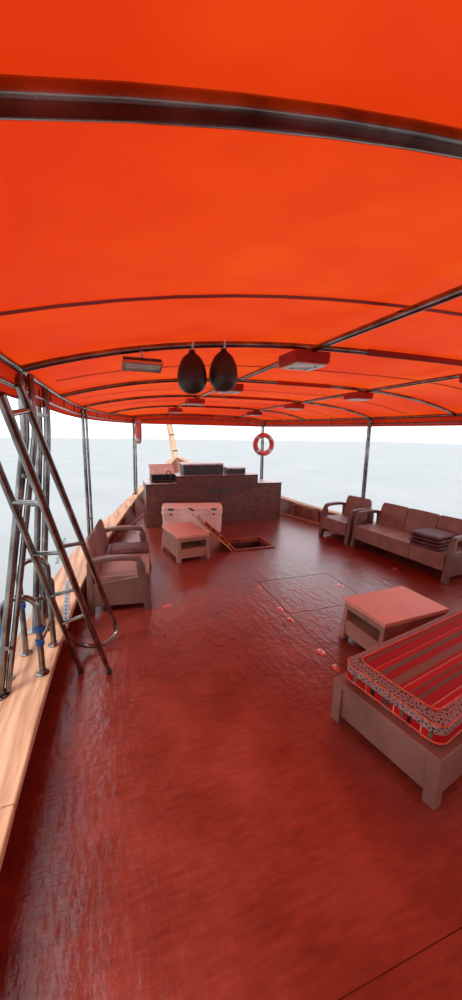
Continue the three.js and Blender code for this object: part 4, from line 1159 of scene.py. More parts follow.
def galley():
    """The counter with its edgings and grip, the sink's lid and its tap."""
    def choose(middle, normal):
        (x0, x1), (y0, y1) = SINK["x"], SINK["y"]
        if x0 < middle.x < x1 and y0 < middle.y < y1 and middle.z < SINK["top"]:
            return 2
        return 1 if normal.z > 0.9 and middle.z < 2.4 else 0

    dressed("counter", [COUNTER_PAINT, COUNTER_TOP, STAINLESS], "counter_paint", 0.004, choose)
    edges = Shape()
    thick, high, below = (EDGING[k] for k in ("thick", "high", "below"))
    for x0, x1, z in COUNTER_TOPS:
        edges.box((x1 - x0 - 0.004, thick, high), ((x0 + x1) / 2, COUNTER_FRONT, z - below))
    for x, z in ((1.542, COUNTER_TOPS[0][2]), (-1.542, COUNTER_TOPS[2][2])):
        edges.box((0.01, 0.6, high), (x, COUNTER_MIDDLE, z - below))
    put("counter_edging", edges, [DARK_TIMBER], "counter_paint", bevel=0.003)
    put("counter_grip", Shape().box(*GRIP), [BLACK_PLASTIC], "dark_iron", bevel=0.004)
    dressed("sink_lid", [WHITE_BOARD], "white_board", 0.006, segments=3)
    put("hood_back", Shape().box(*HOOD_BACK), [BLACK_PLASTIC], "dark_iron", bevel=0.002)
    tap = Shape()
    (x, y, low), way, bend, rise, drop = (TAP[k] for k in ("foot", "way", "bend", "rise", "drop"))
    arc = []
    for k in range(21):
        a = math.pi * k / 20
        out = bend * (1 - math.cos(a))
        arc.append((x + way[0] * out, y + way[1] * out, low + rise + bend * math.sin(a)))
    tap.tube([(x, y, low), (x, y, low + rise / 2), *arc, (*arc[-1][:2], arc[-1][2] - drop)], TAP_R, 14)
    tap.lathe(TAP_FOOT, (x, y, low), "Z", 24)
    tap.box((0.012, 0.06, 0.01), (x, y + 0.03, low + 0.05))
    put("tap", tap, [BLACK_PLASTIC], "dark_iron", nodes=["sink_faucet"], bevel=0.001)


BOX_LID = 0.032
BOXES = {"counter_chest": (0.3, 0.9, 0.42, 0.25, 5), "counter_box": (-0.47, 0.43, 0.38, 0.15, 3)}


def counter_boxes():
    """Two boxes on the counter, each with a lid, ribs on its front and two latches."""
    y, z = COUNTER_MIDDLE, COUNTER_TOPS[1][2] + 0.0003
    for node, (x, width, depth, height, ribs) in BOXES.items():
        shape = Shape()
        tub, front = height - BOX_LID, y + depth / 2
        shape.box((width - 0.016, depth - 0.016, tub), (x, y, z + tub / 2))
        shape.box((width, depth, BOX_LID), (x, y, z + height - BOX_LID / 2), paint=1)
        for k in range(ribs):
            at = x + (k - (ribs - 1) / 2) * width / (ribs + 0.6)
            shape.box((0.018, 0.01, tub - 0.05), (at, front - 0.006, z + tub / 2))
        for side in (-1, 1):
            shape.box((0.05, 0.014, 0.04), (x + side * width * 0.32, front - 0.001, z + tub - 0.01), paint=2)
        put(f"{node}_moulded", shape, [DARK_BOX, WHITE_PLASTIC, BLACK_PLASTIC], "dark_box", nodes=[node], bevel=0.007,
            segments=3)


galley()
counter_boxes()


# Awning
SHEET_COLUMNS = 36
CANOPY_FORE = -5.26
CANOPY_AFT = 9.56
VALANCE_ROWS = 5
EDGE_Z = AWNING_EDGE - VALANCE
BOW_YS = [station[0] for station in AWNING_STATIONS]
CLOTH_LIFT = 0.0046
SAG = 0.016
RUFFLE = 0.0035
HEM_R = 0.0065
TRUSS_DROP = 0.105
TRUSS_R = 0.014
STRUT_R = 0.009
STRUT_SHARES = (-0.75, -0.45, -0.15, 0.15, 0.45, 0.75)


def canopy_sag(y):
    """How far the cloth hangs between two bows, from 0 at a bow to 1 halfway."""
    if y <= BOW_YS[0] or y >= BOW_YS[-1]:
        return 0.0
    n = max(k for k, at in enumerate(BOW_YS) if at <= y)
    return math.sin(math.pi * (y - BOW_YS[n]) / (BOW_YS[n + 1] - BOW_YS[n])) ** 2


def cloth_z(x, half, crown):
    """The height of the cloth where it lies on a bow."""
    return arch_z(x, half, crown) + FRAME_R * math.hypot(1, arch_slope(x, half, crown)) + CLOTH_LIFT


def canopy_row(y):
    """Points across the cloth at y, from the port valance's foot over the arch to the starboard one."""
    half, crown = awning_at(y)
    top = []
    for k in range(SHEET_COLUMNS + 1):
        u = 1 - 2 * k / SHEET_COLUMNS
        x = half * u
        z = cloth_z(x, half, crown) - SAG * canopy_sag(y) * (1 - u**6)
        top.append((x, y, z + RUFFLE * noise.noise(Vector((x * 2.1, y * 1.7, 0.4)))))
    shoulder = AWNING_EDGE + RAIL_R + 0.007
    top[0] = (half, y, shoulder)
    top[-1] = (-half, y, shoulder)
    out = half + RAIL_R + 0.011
    fold = []
    for k in range(VALANCE_ROWS + 1):
        t = k / VALANCE_ROWS
        ripple = 0.006 * t * (math.sin(5.1 * y) + 0.6 * math.sin(11.3 * y + 1))
        fold.append((out + ripple, y, shoulder - 0.006 - (shoulder - 0.006 - EDGE_Z) * t))
    return fold[::-1] + top + [(-x, y, z) for x, y, z in fold]


def canopy():
    shape = Shape()
    rows = [canopy_row(y) for y in span(CANOPY_FORE, CANOPY_AFT, 0.17)]
    count = len(rows[0])

    def paint(row, k):
        return 1 if k < VALANCE_ROWS or k >= count - 1 - VALANCE_ROWS else 0

    shape.skin(rows, paint, caps=False, open_ring=True)
    for row in (rows[0], rows[-1]):
        top = row[VALANCE_ROWS:count - VALANCE_ROWS]
        gable = [top]
        for k in range(1, VALANCE_ROWS + 1):
            t = k / VALANCE_ROWS
            gable.append([(x, y, z + (EDGE_Z - z) * t) for x, y, z in top])
        shape.skin(gable, 1, caps=False, open_ring=True)
    return put("awning_sheet", shape, [AWNING_CLOTH, VALANCE_CLOTH], "awning_cloth", nodes=["awning_canopy"], crease=60,
               weld=0.0008)


def strip_over(shape, y, width, thick, lift, reach=1.0):
    """A narrow tape along the arch at y, just under the cloth."""
    rings = []
    half, crown = awning_at(y)
    for k in range(25):
        x = half * reach * (1 - 2 * k / 24)
        z = cloth_z(x, half, crown) + lift - SAG * canopy_sag(y) * (1 - (x / half) ** 6)
        rings.append([(x, y - width / 2, z), (x, y + width / 2, z), (x, y + width / 2, z - thick),
                      (x, y - width / 2, z - thick)])
    shape.skin(rings)


def canopy_trim():
    seams = Shape()
    for a, b in zip(BOW_YS, BOW_YS[1:]):
        strip_over(seams, (a + b) / 2, 0.035, 0.0015, -0.002, 0.97)
    tapes = put("awning_seams", seams, [SLEEVE_CLOTH], "awning_cloth")
    hem = Shape()
    for side in (1, -1):
        path = [(side * canopy_row(y)[0][0], y, EDGE_Z) for y in span(CANOPY_FORE, CANOPY_AFT, 0.17)]
        hem.tube(path, HEM_R, 8)
    for y in (CANOPY_FORE, CANOPY_AFT):
        half = awning_at(y)[0]
        hem.tube([(-half - 0.03, y, EDGE_Z), (half + 0.03, y, EDGE_Z)], HEM_R, 8)
    hems = put("awning_hem", hem, [SLEEVE_CLOTH], "awning_cloth", crease=60)


def arch_path(y, drop=0.0):
    half, crown = awning_at(y)
    return [(x, y, arch_z(x, half, crown) - drop) for x in (half * (1 - 2 * k / 32) for k in range(33))]


def awning_metal():
    fore, aft = BOW_YS[0], BOW_YS[-1]
    bows = Shape()
    for y in BOW_YS:
        bows.tube(arch_path(y), FRAME_R, 14)
    for side in (1, -1):
        bows.tube([(side * awning_at(y)[0], y, AWNING_EDGE) for y in span(fore, aft, 0.2)], RAIL_R, 14)
    put("awning_bows", bows, [STAINLESS], "stainless", nodes=["awning_frame"], crease=60)
    lower = Shape()
    for side in (1, -1):
        path = [(side * awning_at(y)[0], y, AWNING_EDGE - TRUSS_DROP) for y in span(fore, aft, 0.2)]
        lower.tube(path, TRUSS_R, 10)
        for y in span(fore + 0.3, aft - 0.3, 0.85):
            x = side * awning_at(y)[0]
            lower.tube([(x, y, AWNING_EDGE - TRUSS_DROP), (x, y, AWNING_EDGE)], STRUT_R, 8)
    for y in (fore, aft):
        lower.tube(arch_path(y, TRUSS_DROP), TRUSS_R, 10)
        half, crown = awning_at(y)
        for u in STRUT_SHARES:
            z = arch_z(u * half, half, crown)
            lower.tube([(u * half, y, z - TRUSS_DROP), (u * half, y, z)], STRUT_R, 8)
    put("awning_side_truss", lower, [STAINLESS], "stainless", crease=60)
    sleeves = Shape()
    for n, y in enumerate(BOW_YS):
        half, crown = awning_at(y)
        start, end = -0.17 - 0.07 * (n % 3), 0.13 - 0.02 * (n % 2)
        xs = [half * (start + (end - start) * k / 12) for k in range(13)]
        sleeves.tube([(x, y, arch_z(x, half, crown)) for x in xs], 0.0235, 14)
    put("bow_sleeves", sleeves, [SLEEVE_CLOTH], "awning_cloth", crease=60)


def runner_z(y):
    half, crown = awning_at(y)
    return arch_z(RUNNER_X, half, crown) - 2 * FRAME_R * 1.03 - 0.0003


LIGHT_BOX = (0.262, 0.262, 0.076)
TRIM_OUTER = 0.118
TRIM_INNER = 0.078


def runners():
    """The two tubes along the bows, with a lamp in a cloth-covered box under each bow but the end ones."""
    outer, inner = TRIM_OUTER, TRIM_INNER
    for name, side in SIDES.items():
        shape = Shape()
        shape.tube([(side * RUNNER_X, y, runner_z(y)) for y in span(BOW_YS[0], BOW_YS[-1], 0.25)], FRAME_R, 14)
        trims = Shape()
        boxes = Shape()
        for y in BOW_YS[1:9]:
            z = runner_z(y) - 0.004
            x = side * RUNNER_X
            boxes.box(LIGHT_BOX, (x, y, z - 0.041), taper=1.03)
            for i in (-1, 1):
                trims.box((outer - inner, 2 * outer, 0.016), (x + i * (outer + inner) / 2, y, z - 0.084))
                trims.box((2 * inner, outer - inner, 0.016), (x, y + i * (outer + inner) / 2, z - 0.084))
            lens = [(0.0, -0.004), (0.062, -0.004), (0.078, -0.012), (0.0785, 0.006), (0.0, 0.006)]
            trims.lathe(lens, (x, y, z - 0.08), "Z", 28, 1)
        put(f"runner_{name}", shape, [STAINLESS], "stainless", nodes=[f"awning_runner_{name}"], crease=60)
        put(f"light_boxes_{name}", boxes, [SLEEVE_CLOTH], "awning_cloth", bevel=0.012, segments=3)
        put(f"light_trims_{name}", trims, [ALUMINIUM, LENS], "stainless", bevel=0.003)


FLANGE = ((0.001, 0), (0.06, 0), (0.06, 0.008), (0.056, 0.011), (0.034, 0.013), (0.031, 0.05), (0.025, 0.054),
          (0.001, 0.054))
BOLT = ((0.001, -0.002), (0.008, -0.002), (0.008, 0.003), (0.005, 0.006), (0.001, 0.0065))
HEAD = ((0.001, -0.02), (0.029, -0.02), (0.031, 0), (0.031, 0.03), (0.001, 0.032))
TWIN_AWAY = 0.049
TWIN_R = 0.017


def posts():
    """Posts that lean in from their flanges on the cap, with a knee below the rail and a thinner tube beside each."""
    for name, side in SIDES.items():
        for n, station in enumerate(POST_STATIONS):
            y, half, _ = AWNING_STATIONS[station]
            f, z = sheer_at(y)
            foot = hull_x(f, z) - BULWARK_THICK / 2
            base = cap_top(y)
            top = AWNING_EDGE - RAIL_R - 0.0003
            knee = Vector((side * half, y, top - 0.32))
            start = Vector((side * foot, y, base + 0.004))
            shape = Shape()
            lean = (knee - start).normalized()
            path = [start, start.lerp(knee, 0.5), knee - lean * 0.09, knee - lean * 0.03, knee + Vector((0, 0, 0.03)),
                    knee + Vector((0, 0, 0.09)), Vector((side * half, y, top))]
            shape.tube(path, POST_R, 20)
            slope = (cap_top(y + 0.05) - cap_top(y - 0.05)) / 0.1
            tilt = Matrix.Rotation(math.atan(slope), 3, "X")
            u, v, w = (tilt @ way for way in (X_WAY, Y_WAY, Z_WAY))

            def disc(middle, profile, sides=28):
                shape.skin([circle(Vector(middle) + h * w, r, sides, u, v) for r, h in profile])

            disc((side * foot, y, base), FLANGE)
            for a in turns(4, 0.5):
                out = Vector((0.047 * math.cos(a), 0.047 * math.sin(a), 0.011))
                disc(Vector((side * foot, y, base)) + tilt @ out, BOLT, 6)
            disc((side * half, y, top - 0.05), HEAD)
            aside = Vector((-side * TWIN_AWAY, 0, 0))
            shape.tube([p + aside + Vector((0, 0, 0.02 if k == 0 else 0)) for k, p in enumerate(path)], TWIN_R, 16)
            for t in (0.2, 0.85):
                at = start.lerp(knee, t)
                shape.tube([at - lean * 0.012 + aside / 2, at + lean * 0.012 + aside / 2], 0.031, 16)
            put(f"post_{name}_{n + 1}", shape, [STAINLESS], "stainless", nodes=[f"awning_post_{name}_{n + 1}"])


sheet = canopy()
awning_metal()
canopy_trim()
runners()
posts()


# Things hung from the awning's frame
BOW_Y, BOW_HALF, BOW_CROWN = AWNING_STATIONS[4]
CAD_BOW_PARTS = 14
FENDER_OUTLINE = (
    (0, -0.272), (0.02, -0.271), (0.044, -0.264), (0.067, -0.249), (0.084, -0.226), (0.093, -0.197), (0.094, -0.166),
    (0.091, -0.136), (0.084, -0.106), (0.073, -0.078), (0.059, -0.054), (0.042, -0.036), (0.026, -0.026), (0.02, -0.02),
    (0.019, -0.01), (0.021, -0.006), (0, 0),
)


def under_bow(x, reach):
    """The underside of the bow at x, which the CAD model makes of straight parts."""
    half, crown = BOW_HALF, BOW_CROWN
    stretch = 2 * half / CAD_BOW_PARTS
    near = math.floor(x / stretch) * stretch
    slope = (arch_z(near, half, crown) - arch_z(near + stretch, half, crown)) / stretch
    return arch_z(near, half, crown) - slope * (x - near) - FRAME_R * math.hypot(1, slope) - reach * slope - 0.0003


FENDERS = (("fender_a", 1.48), ("fender_b", 1.69))
FENDER_RINGS = ((0.094, -0.18), (0.021, -0.02))
LAMP_X = 2.0
LAMP_TIP = 14
FIN_PITCH = 0.03
WIRE_PITCH = 0.028
FRAME_SPAN = 0.212


def hung_things():
    """Two fenders with their lashings, and a flood lamp with a finned back and a guard."""
    for name, x in FENDERS:
        top = under_bow(x, 0.012)
        shape = Shape().lathe(FENDER_OUTLINE, (x, BOW_Y, top), "Z", 36)
        for radius, height in FENDER_RINGS:
            shape.tube(circle((x, BOW_Y, top + height), radius, 36), 0.0022, 6, loop=True)
        put(f"{name}_moulded", shape, [FENDER_RUBBER], "fender_rubber", nodes=[name], crease=50)
        lash = Shape()
        wrap = [(x + 0.006 * math.sin(9 * a), BOW_Y + 0.024 * math.cos(a), top + 0.021 + 0.024 * math.sin(a))
                for a in turns(40)]
        lash.tube(wrap, 0.004, 8, loop=True)
        put(f"{name}_lashing", lash, [WHITE_PLASTIC], "awning_cloth")
    lamp = Shape()
    z = under_bow(LAMP_X, 0.02) - 0.11
    tip = Matrix.Rotation(math.radians(LAMP_TIP), 3, "X")
    middle = Vector((LAMP_X, BOW_Y, z + 0.045))

    def part(size, at, paint):
        lamp.box(size, middle + tip @ Vector(at), tip, paint)

    part((0.224, 0.112, 0.022), (0, 0, 0.008), 0)
    for k in range(7):
        part((0.005, 0.09, 0.012), ((k - 3) * FIN_PITCH, 0, 0.023), 0)
        part((0.003, 0.1, 0.004), ((k - 3) * FIN_PITCH, 0, -0.013), 1)
    for i in (-1, 1):
        part((0.012, 0.124, 0.018), (i * 0.112, 0, -0.01), 1)
        part((FRAME_SPAN, 0.012, 0.018), (0, i * 0.056, -0.01), 1)
    for j in range(3):
        part((FRAME_SPAN, 0.003, 0.004), (0, (j - 1) * WIRE_PITCH, -0.013), 1)
    part((FRAME_SPAN, 0.1, 0.004), (0, 0, -0.006), 2)
    lamp.box((0.02, 0.03, 0.066), (LAMP_X, BOW_Y, z + 0.087), paint=1)
    put("flood_lamp_cast", lamp, [DARK_IRON, ALUMINIUM, LENS], "dark_iron", nodes=["flood_lamp"], bevel=0.0015)


RING = {"middle": 0.235, "thick": 0.062, "band": 0.0645, "band_half_angle": 0.17, "line": 0.303, "line_thick": 0.005}


def buoy(name, centre, across):
    """A ring in the plane of across and the vertical, with four bands and a grab line between them."""
    centre = Vector(centre)
    shape = Shape()

    def arc(radius, start, end, steps):
        return [centre + radius * (math.cos(a) * across + math.sin(a) * Z_WAY)
                for a in (start + (end - start) * k / steps for k in range(steps + 1))]

    shape.tube(arc(RING["middle"], 0, 2 * math.pi, 72)[:-1], RING["thick"], 20, loop=True)
    spread = RING["band_half_angle"]
    for middle in turns(4, 0.5):
        shape.tube(arc(RING["middle"], middle - spread, middle + spread, 8), RING["band"], 20, 1)
    for start in turns(4, 0.5):
        shape.tube(arc(RING["line"], start, start + math.pi / 2, 12), RING["line_thick"], 8, 2)
    put(f"{name}_moulded", shape, [RING_RED, RING_BAND, WHITE_PLASTIC], "ring_red", nodes=[name])


hung_things()
buoy("lifebuoy_port", (1.5736, -4.955, 3.29), Y_WAY)
buoy("lifebuoy_starboard", (-1.64, -5.1136, 3.0), X_WAY)


# Furniture
FLUTE_PITCH = 0.018
FLUTE_DEPTH = 0.003


def ribbed(shape, y0, y1, z0, z1, x_in, x_out, paint=0, fall=0.0):
    """An upright panel in the YZ plane whose outer face is fluted; its top falls towards y1."""
    steps = max(4, int(round((y1 - y0) / FLUTE_PITCH)) * 4)
    sign = 1 if x_out > x_in else -1
    ys = [y0 + (y1 - y0) * k / steps for k in range(steps + 1)]
    outline = [(x_out - sign * FLUTE_DEPTH * (0.5 + 0.5 * math.cos(math.pi * k / 2)), y) for k, y in enumerate(ys)]
    ring = outline + [(x_in, y1), (x_in, y0)]
    top = [(x, y, z1 - fall * (y - y0) / (y1 - y0)) for x, y in ring]
    shape.skin([[(x, y, z0) for x, y in ring], top], paint)


def bar(shape, x, line, width, thick, paint):
    """A rounded bar of constant width in X that follows a line of (y, z) points at x; thick is for foot and head."""
    line = [Vector((y, z)) for y, z in line]
    rings = []
    for k, point in enumerate(line):
        ahead = (line[min(k + 1, len(line) - 1)] - line[max(k - 1, 0)]).normalized()
        normal = Vector((-ahead.y, ahead.x))
        deep = thick[0] + (thick[1] - thick[0]) * min(1, max(0, point.y / ARM_HIGH))
        ring = []
        for u, v in (squircle(a, 7) for a in turns(20, 0.5)):
            at = point + normal * (v * deep / 2)
            ring.append((x + u * width / 2, at.x, at.y))
        rings.append(ring)
    shape.skin(rings, paint)


ARM_WIDE = 0.082
ARM_HIGH = 0.6
ARM_LINE = ((-0.238, 0.48), (-0.231, 0.55), (-0.2, 0.602), (-0.14, 0.62), (0, 0.627), (0.14, 0.623), (0.29, 0.6))
FRONT_LEG = ((-0.303, 0.0), (-0.266, 0.25), (-0.224, 0.55))
REAR_LEG = ((0.31, 0.0), (0.306, 0.3), (0.3, 0.6))
SIDE_PANEL = (-0.262, 0.3, 0.085, 0.405)
BACK_FOOT = 0.36
BACK_HIGH = 0.428
BACK_HOLLOW = 0.018


def moulded_seat(node, width, seats, place):
    """An armchair or sofa: fluted sides with a window under each arm, seat boxes and curved back panels."""
    shape = Shape()
    for side in (-1, 1):
        x = side * (width / 2 - ARM_WIDE / 2)
        rail = curve_through([(0, y, z) for y, z in ARM_LINE], 5)
        # Arms, legs and side panels take the darker rattan, as painted shade on the sides.
        bar(shape, x, [(p.y, p.z) for p in rail], ARM_WIDE, (0.056, 0.056), 1)
        bar(shape, x, FRONT_LEG, ARM_WIDE, (0.084, 0.092), 1)
        bar(shape, x, REAR_LEG, ARM_WIDE, (0.074, 0.056), 1)
        ribbed(shape, *SIDE_PANEL, x - side * 0.03, x + side * 0.03, paint=1, fall=0.06)
    inside = width - 2 * ARM_WIDE + 0.012
    share = inside / seats
    for k in range(seats):
        x = (k - (seats - 1) / 2) * share
        shape.box((share - 0.006, 0.6, 0.235), (x, -0.022, 0.283))
    back = Shape()
    for k in range(seats):
        middle = (k - (seats - 1) / 2) * share
        rings = []
        for t in [n / 10 for n in range(11)]:
            z = BACK_FOOT + BACK_HIGH * t
            lean = 0.225 + 0.085 * t ** 1.3
            half = share / 2 - 0.004
            end_cut = 0.035 * max(0, (t - 0.8) / 0.2) ** 2
            left = half - (end_cut if k == 0 else end_cut * 0.2)
            right = half - (end_cut if k == seats - 1 else end_cut * 0.2)
            thick = 0.062 - 0.018 * max(0, (t - 0.75) / 0.25) ** 2
            rear = min(lean + thick + 0.01, 0.348)
            xs = [middle - left + (left + right) * j / 8 for j in range(9)]
            ring = [(x, lean + BACK_HOLLOW * (1 - (2 * j / 8 - 1) ** 2), z) for j, x in enumerate(xs)]
            rings.append(ring + [(x, rear, z) for x in reversed(xs)])
        back.skin(rings)
    shared = {"segments": 3, "place": place, "crease": 45}
    put(f"{node}_frame", shape, [RATTAN, RATTAN_SHADED_COPY], "rattan_plastic", nodes=[node], bevel=0.012, **shared)
    put(f"{node}_back", back, [RATTAN], "rattan_plastic", bevel=0.014, **shared)


TABLE = {"width": 0.785, "length": 0.527, "height": 0.42, "under": 0.038, "flutes": 34}


def moulded_table(node, place):
    """A low table: woven top, fluted long sides, and ends with a slot over a low panel; the top is the table's plastic
    painted lighter, as painted light from above.
    """
    shape = Shape()
    width, length, height = (TABLE[k] for k in ("width", "length", "height"))
    half_w, half_l, under = width / 2, length / 2, height - TABLE["under"]
    # The top slab is painted lighter than the rest, as painted light from above.
    shape.box((width, length, 0.04), (0, 0, height - 0.02), paint=1)
    legs = Shape()
    for i, j in ((-1, -1), (-1, 1), (1, -1), (1, 1)):
        rings = []
        for out_x, out_y, wide, deep, level in ((0.016, 0.01, 0.085, 0.065, 0), (-0.012, -0.012, 0.06, 0.045, under)):
            corners = rectangle(0, 0, wide, deep, level)
            rings.append([(i * (half_w + out_x - a), j * (half_l + out_y - b), z) for a, b, z in corners])
        legs.skin(rings)
    for j in (-1, 1):
        steps = TABLE["flutes"] * 4
        rings = []
        for z, out in ((0.062, 0.004), (under, 0.014)):
            row = []
            for k in range(steps + 1):
                x = -half_w + 0.05 + (width - 0.1) * k / steps
                flute = 0.0025 * (0.5 + 0.5 * math.cos(math.pi * k / 2))
                row.append((x, j * (half_l - out - flute), z))
            row += [(half_w - 0.05, j * (half_l - 0.04), z), (-half_w + 0.05, j * (half_l - 0.04), z)]
            rings.append(row)
        shape.skin(rings)
    for i in (-1, 1):
        for z0, z1, ribs in ((0.06, 0.205, 7), (height - 0.1, under, 3)):
            rings = []
            for z in span(z0, z1, 0.005):
                flute = 0.002 * (0.5 + 0.5 * math.cos(2 * math.pi * (z - z0) / (z1 - z0) * ribs))
                outer, inner = i * (half_w - 0.004 - 0.01 * (z / height) - flute), i * (half_w - 0.04)
                y = half_l - 0.04
                rings.append([(outer, -y, z), (outer, y, z), (inner, y, z), (inner, -y, z)])
            shape.skin(rings)
    shape.box((width - 0.07, length - 0.07, 0.022), (0, 0, 0.194))
    shared = {"segments": 3, "place": place, "crease": 45}
    put(f"{node}_legs", legs, [TABLE_PLASTIC], "rattan_plastic", bevel=0.01, **shared)
    put(f"{node}_moulded", shape, [TABLE_PLASTIC, TABLE_PLASTIC_LIT], "rattan_plastic", nodes=[node], bevel=0.007, **shared)


def rounded_ring(width, length, radius, z, steps=6):
    """A rectangle with round corners at height z."""
    ring = []
    for i, j, start in ((1, 1, 0), (-1, 1, 0.5), (-1, -1, 1.0), (1, -1, 1.5)):
        for k in range(steps + 1):
            a = math.pi * (start + 0.5 * k / steps)
            x, y = i * (width / 2 - radius), j * (length / 2 - radius)
            ring.append((x + radius * math.cos(a), y + radius * math.sin(a), z))
    return ring


CHEST = {"width": 1.19, "length": 0.42, "tub": 0.47, "lid": 0.075}
CHEST_PLACE = (0.68, -3.34, DECK_Z + 0.0003, -11.6)
LATCHES = ((-0.42, -10), (0.02, -26), (0.42, 0))


def ice_chest():
    """A ribbed tub with feet and grips, and its lid with rubber latches, some of them turned aside."""
    width, length, tub, lid = (CHEST[k] for k in ("width", "length", "tub", "lid"))
    place = placed(*CHEST_PLACE)
    shape = Shape()
    outside = ((0.955, 0.925, 0.012), (0.965, 0.94, 0.03), (0.98, 0.965, 0.33), (0.984, 0.972, 0.345),
               (0.972, 0.955, 0.352), (0.972, 0.955, 0.366), (0.988, 0.98, 0.374), (0.99, 0.985, 0.42),
               (1.0, 1.0, 0.43), (1.0, 1.0, tub - 0.004))
    inside = ((0.03, 0.03, tub), (0.084, 0.025, tub), (0.094, 0.025, 0.05))
    rings = [rounded_ring(width * a, length * b, 0.035, z) for a, b, z in outside]
    rings += [rounded_ring(width - inset, length - inset, radius, z) for inset, radius, z in inside]
    shape.skin(rings)
    for i in (-1, 1):
        for j in (-1, 1):
            shape.lathe([(0, 0), (0.028, 0), (0.032, 0.014), (0, 0.014)], (i * 0.5, j * 0.15, 0), "Z", 16, 1)
        shape.box((0.03, 0.17, 0.03), (i * (width / 2 - 0.002), 0, 0.395))
        grip = [(i * (width / 2 + 0.006 + 0.02 * math.sin(math.pi * k / 10)), -0.07 + 0.014 * k,
                 0.375 - 0.09 * math.sin(math.pi * k / 10)) for k in range(11)]
        shape.tube(grip, 0.011, 12, 1)
    for x in (-0.42, 0.42):
        shape.box((0.05, 0.012, 0.03), (x, length / 2 - 0.002, 0.395), paint=1)
    put("ice_chest_tub", shape, [CHEST_PLASTIC, BLACK_PLASTIC], "chest_plastic", nodes=["ice_chest"], bevel=0.003,
        place=place)
    top = Shape()
    base = tub + 0.0003
    levels = ((0.01, 0.035, 0), (0, 0.04, 0.006), (0, 0.04, 0.034), (0.012, 0.036, 0.04), (0.012, 0.036, 0.046),
              (0, 0.04, 0.052), (0.004, 0.038, 0.066), (0.03, 0.03, lid))
    top.skin([rounded_ring(width - inset, length - inset, radius, base + z) for inset, radius, z in levels])
    for x, turn in LATCHES:
        spin = Matrix.Rotation(math.radians(turn), 3, "Y")
        top.box((0.11, 0.018, 0.03), (x, length / 2 + 0.006, base + 0.026), spin, 1)
        top.box((0.03, 0.014, 0.036), (x, length / 2 + 0.004, base + 0.022), paint=1)
    put("ice_chest_lid_moulded", top, [CHEST_PLASTIC, BLACK_PLASTIC], "chest_plastic", "ice_chest_lid",
        ["ice_chest_lid"], bevel=0.003, place=place)


SWELL_FRAMES = 20
SWELL_PRESSURE = 4


def swell(obj, swell_limit, voxel):
    """Blows the pad up with the cloth solver, and keeps each point within the limit of where it started."""
    remesh = obj.modifiers.new("remesh", "REMESH")
    remesh.mode = "VOXEL"
    remesh.voxel_size = voxel
    obj.data = applied(obj)
    rest = [v.co.copy() for v in obj.data.vertices]
    cloth = obj.modifiers.new("cloth", "CLOTH")
    cloth.settings.use_pressure = True
    cloth.settings.uniform_pressure_force = SWELL_PRESSURE
    cloth.settings.effector_weights.gravity = 0
    cloth.settings.quality = 5
    cloth.point_cache.frame_start = 1
    cloth.point_cache.frame_end = SWELL_FRAMES
    scene = bpy.context.scene
    for step in range(1, SWELL_FRAMES + 1):
        scene.frame_set(step)
    made = applied(obj)
    scene.frame_set(1)
    for vertex, start in zip(made.vertices, rest):
        move = vertex.co - start
        if move.length > swell_limit:
            vertex.co = start + move * (swell_limit / move.length)
    obj.data = made


def declare_pad(pad, place):
    """Puts a pad in its place and joins it to the hull's body."""
    pad.matrix_world = place
    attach(pad, "hull")


def soft_pad(name, shape, place, limit, voxel, low, high, paints, node):
    """A pad swollen from its starting form, flat where it lies and no higher than high."""
    pad = linked(name, closed_mesh(name, shape))
    swell(pad, limit, voxel)
    for vertex in pad.data.vertices:
        vertex.co.z = min(max(vertex.co.z, low), high)
    pad.data.materials.clear()
    for paint in paints:
        pad.data.materials.append(paint)
    pad.data.polygons.foreach_set("use_smooth", [True] * len(pad.data.polygons))
    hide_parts(node)
    declare_pad(pad, place)
    return pad


PAD_CORNER = 0.045
PAD_SEAM_DROP = 0.018
WELT_R = 0.0035


def welt_line(pad, outline, core_x, core_y, level, away, sink):
    """Points on the pad's side at level, found from outline towards the pad's core; sink is how far out they stand."""
    line = []
    for x, y in outline:
        core = Vector((max(-core_x, min(core_x, x)), max(-core_y, min(core_y, y)), 0))
        way = (core - Vector((x, y, 0))).normalized()
        start = Vector((x, y, level)) - way * away
        hit, where, _, _ = pad.ray_cast(start, way)
        line.append(where - way * sink if hit else start + way * away)
    return line


def seat_pads(stem, width, length, thick, places, node):
    """Coated pads of one make, one in each place, with a welt round the upper edge."""
    shape = Shape()
    levels = ((0.04, 0.0), (0.02, 0.006), (0.012, 0.014), (0.012, thick - 0.025), (0.022, thick - 0.018),
              (0.05, thick - 0.014))
    shape.skin([rounded_ring(width - inset, length - inset, PAD_CORNER, z + 0.0004) for inset, z in levels])
    pad = soft_pad(f"{stem}_pad", shape, places[0], 0.012, 0.009, 0.0004, thick - 0.001, [SEAT_VINYL],
                   node)
    outline = [(x, y) for x, y, _ in rounded_ring(width, length, PAD_CORNER, 0, 8)]
    edge = welt_line(pad, outline, 0.1, 0.15, thick - PAD_SEAM_DROP, 0.1, 0.0005)
    for n, place in enumerate(places):
        if n:
            twin = linked(f"{stem}_pad_{n + 1}", pad.data.copy())
            declare_pad(twin, place)
        welt = Shape().tube(edge, WELT_R, 8, loop=True)
        put(f"{stem}_welt_{n + 1}" if n else f"{stem}_welt", welt, [SEAT_VINYL], "seat_vinyl", place=place, crease=60)


SETTEE_PLACE = (-0.215, 1.806, DECK_Z + 0.0003, 12)
BAND = 0.085
PIPING_R = 0.005
EDGE_PIPING_R = 0.0055
EDGE_PIPING_LEVELS = (0.03, 0.136)
CUSHION_INSET = 0.35
CUSHION_LEVELS = ((0.9, 0.0), (0.965, 0.008), (0.985, 0.03), (0.985, 0.12), (0.97, 0.142), (0.91, 0.152))
SETTEE_LEG = 0.07


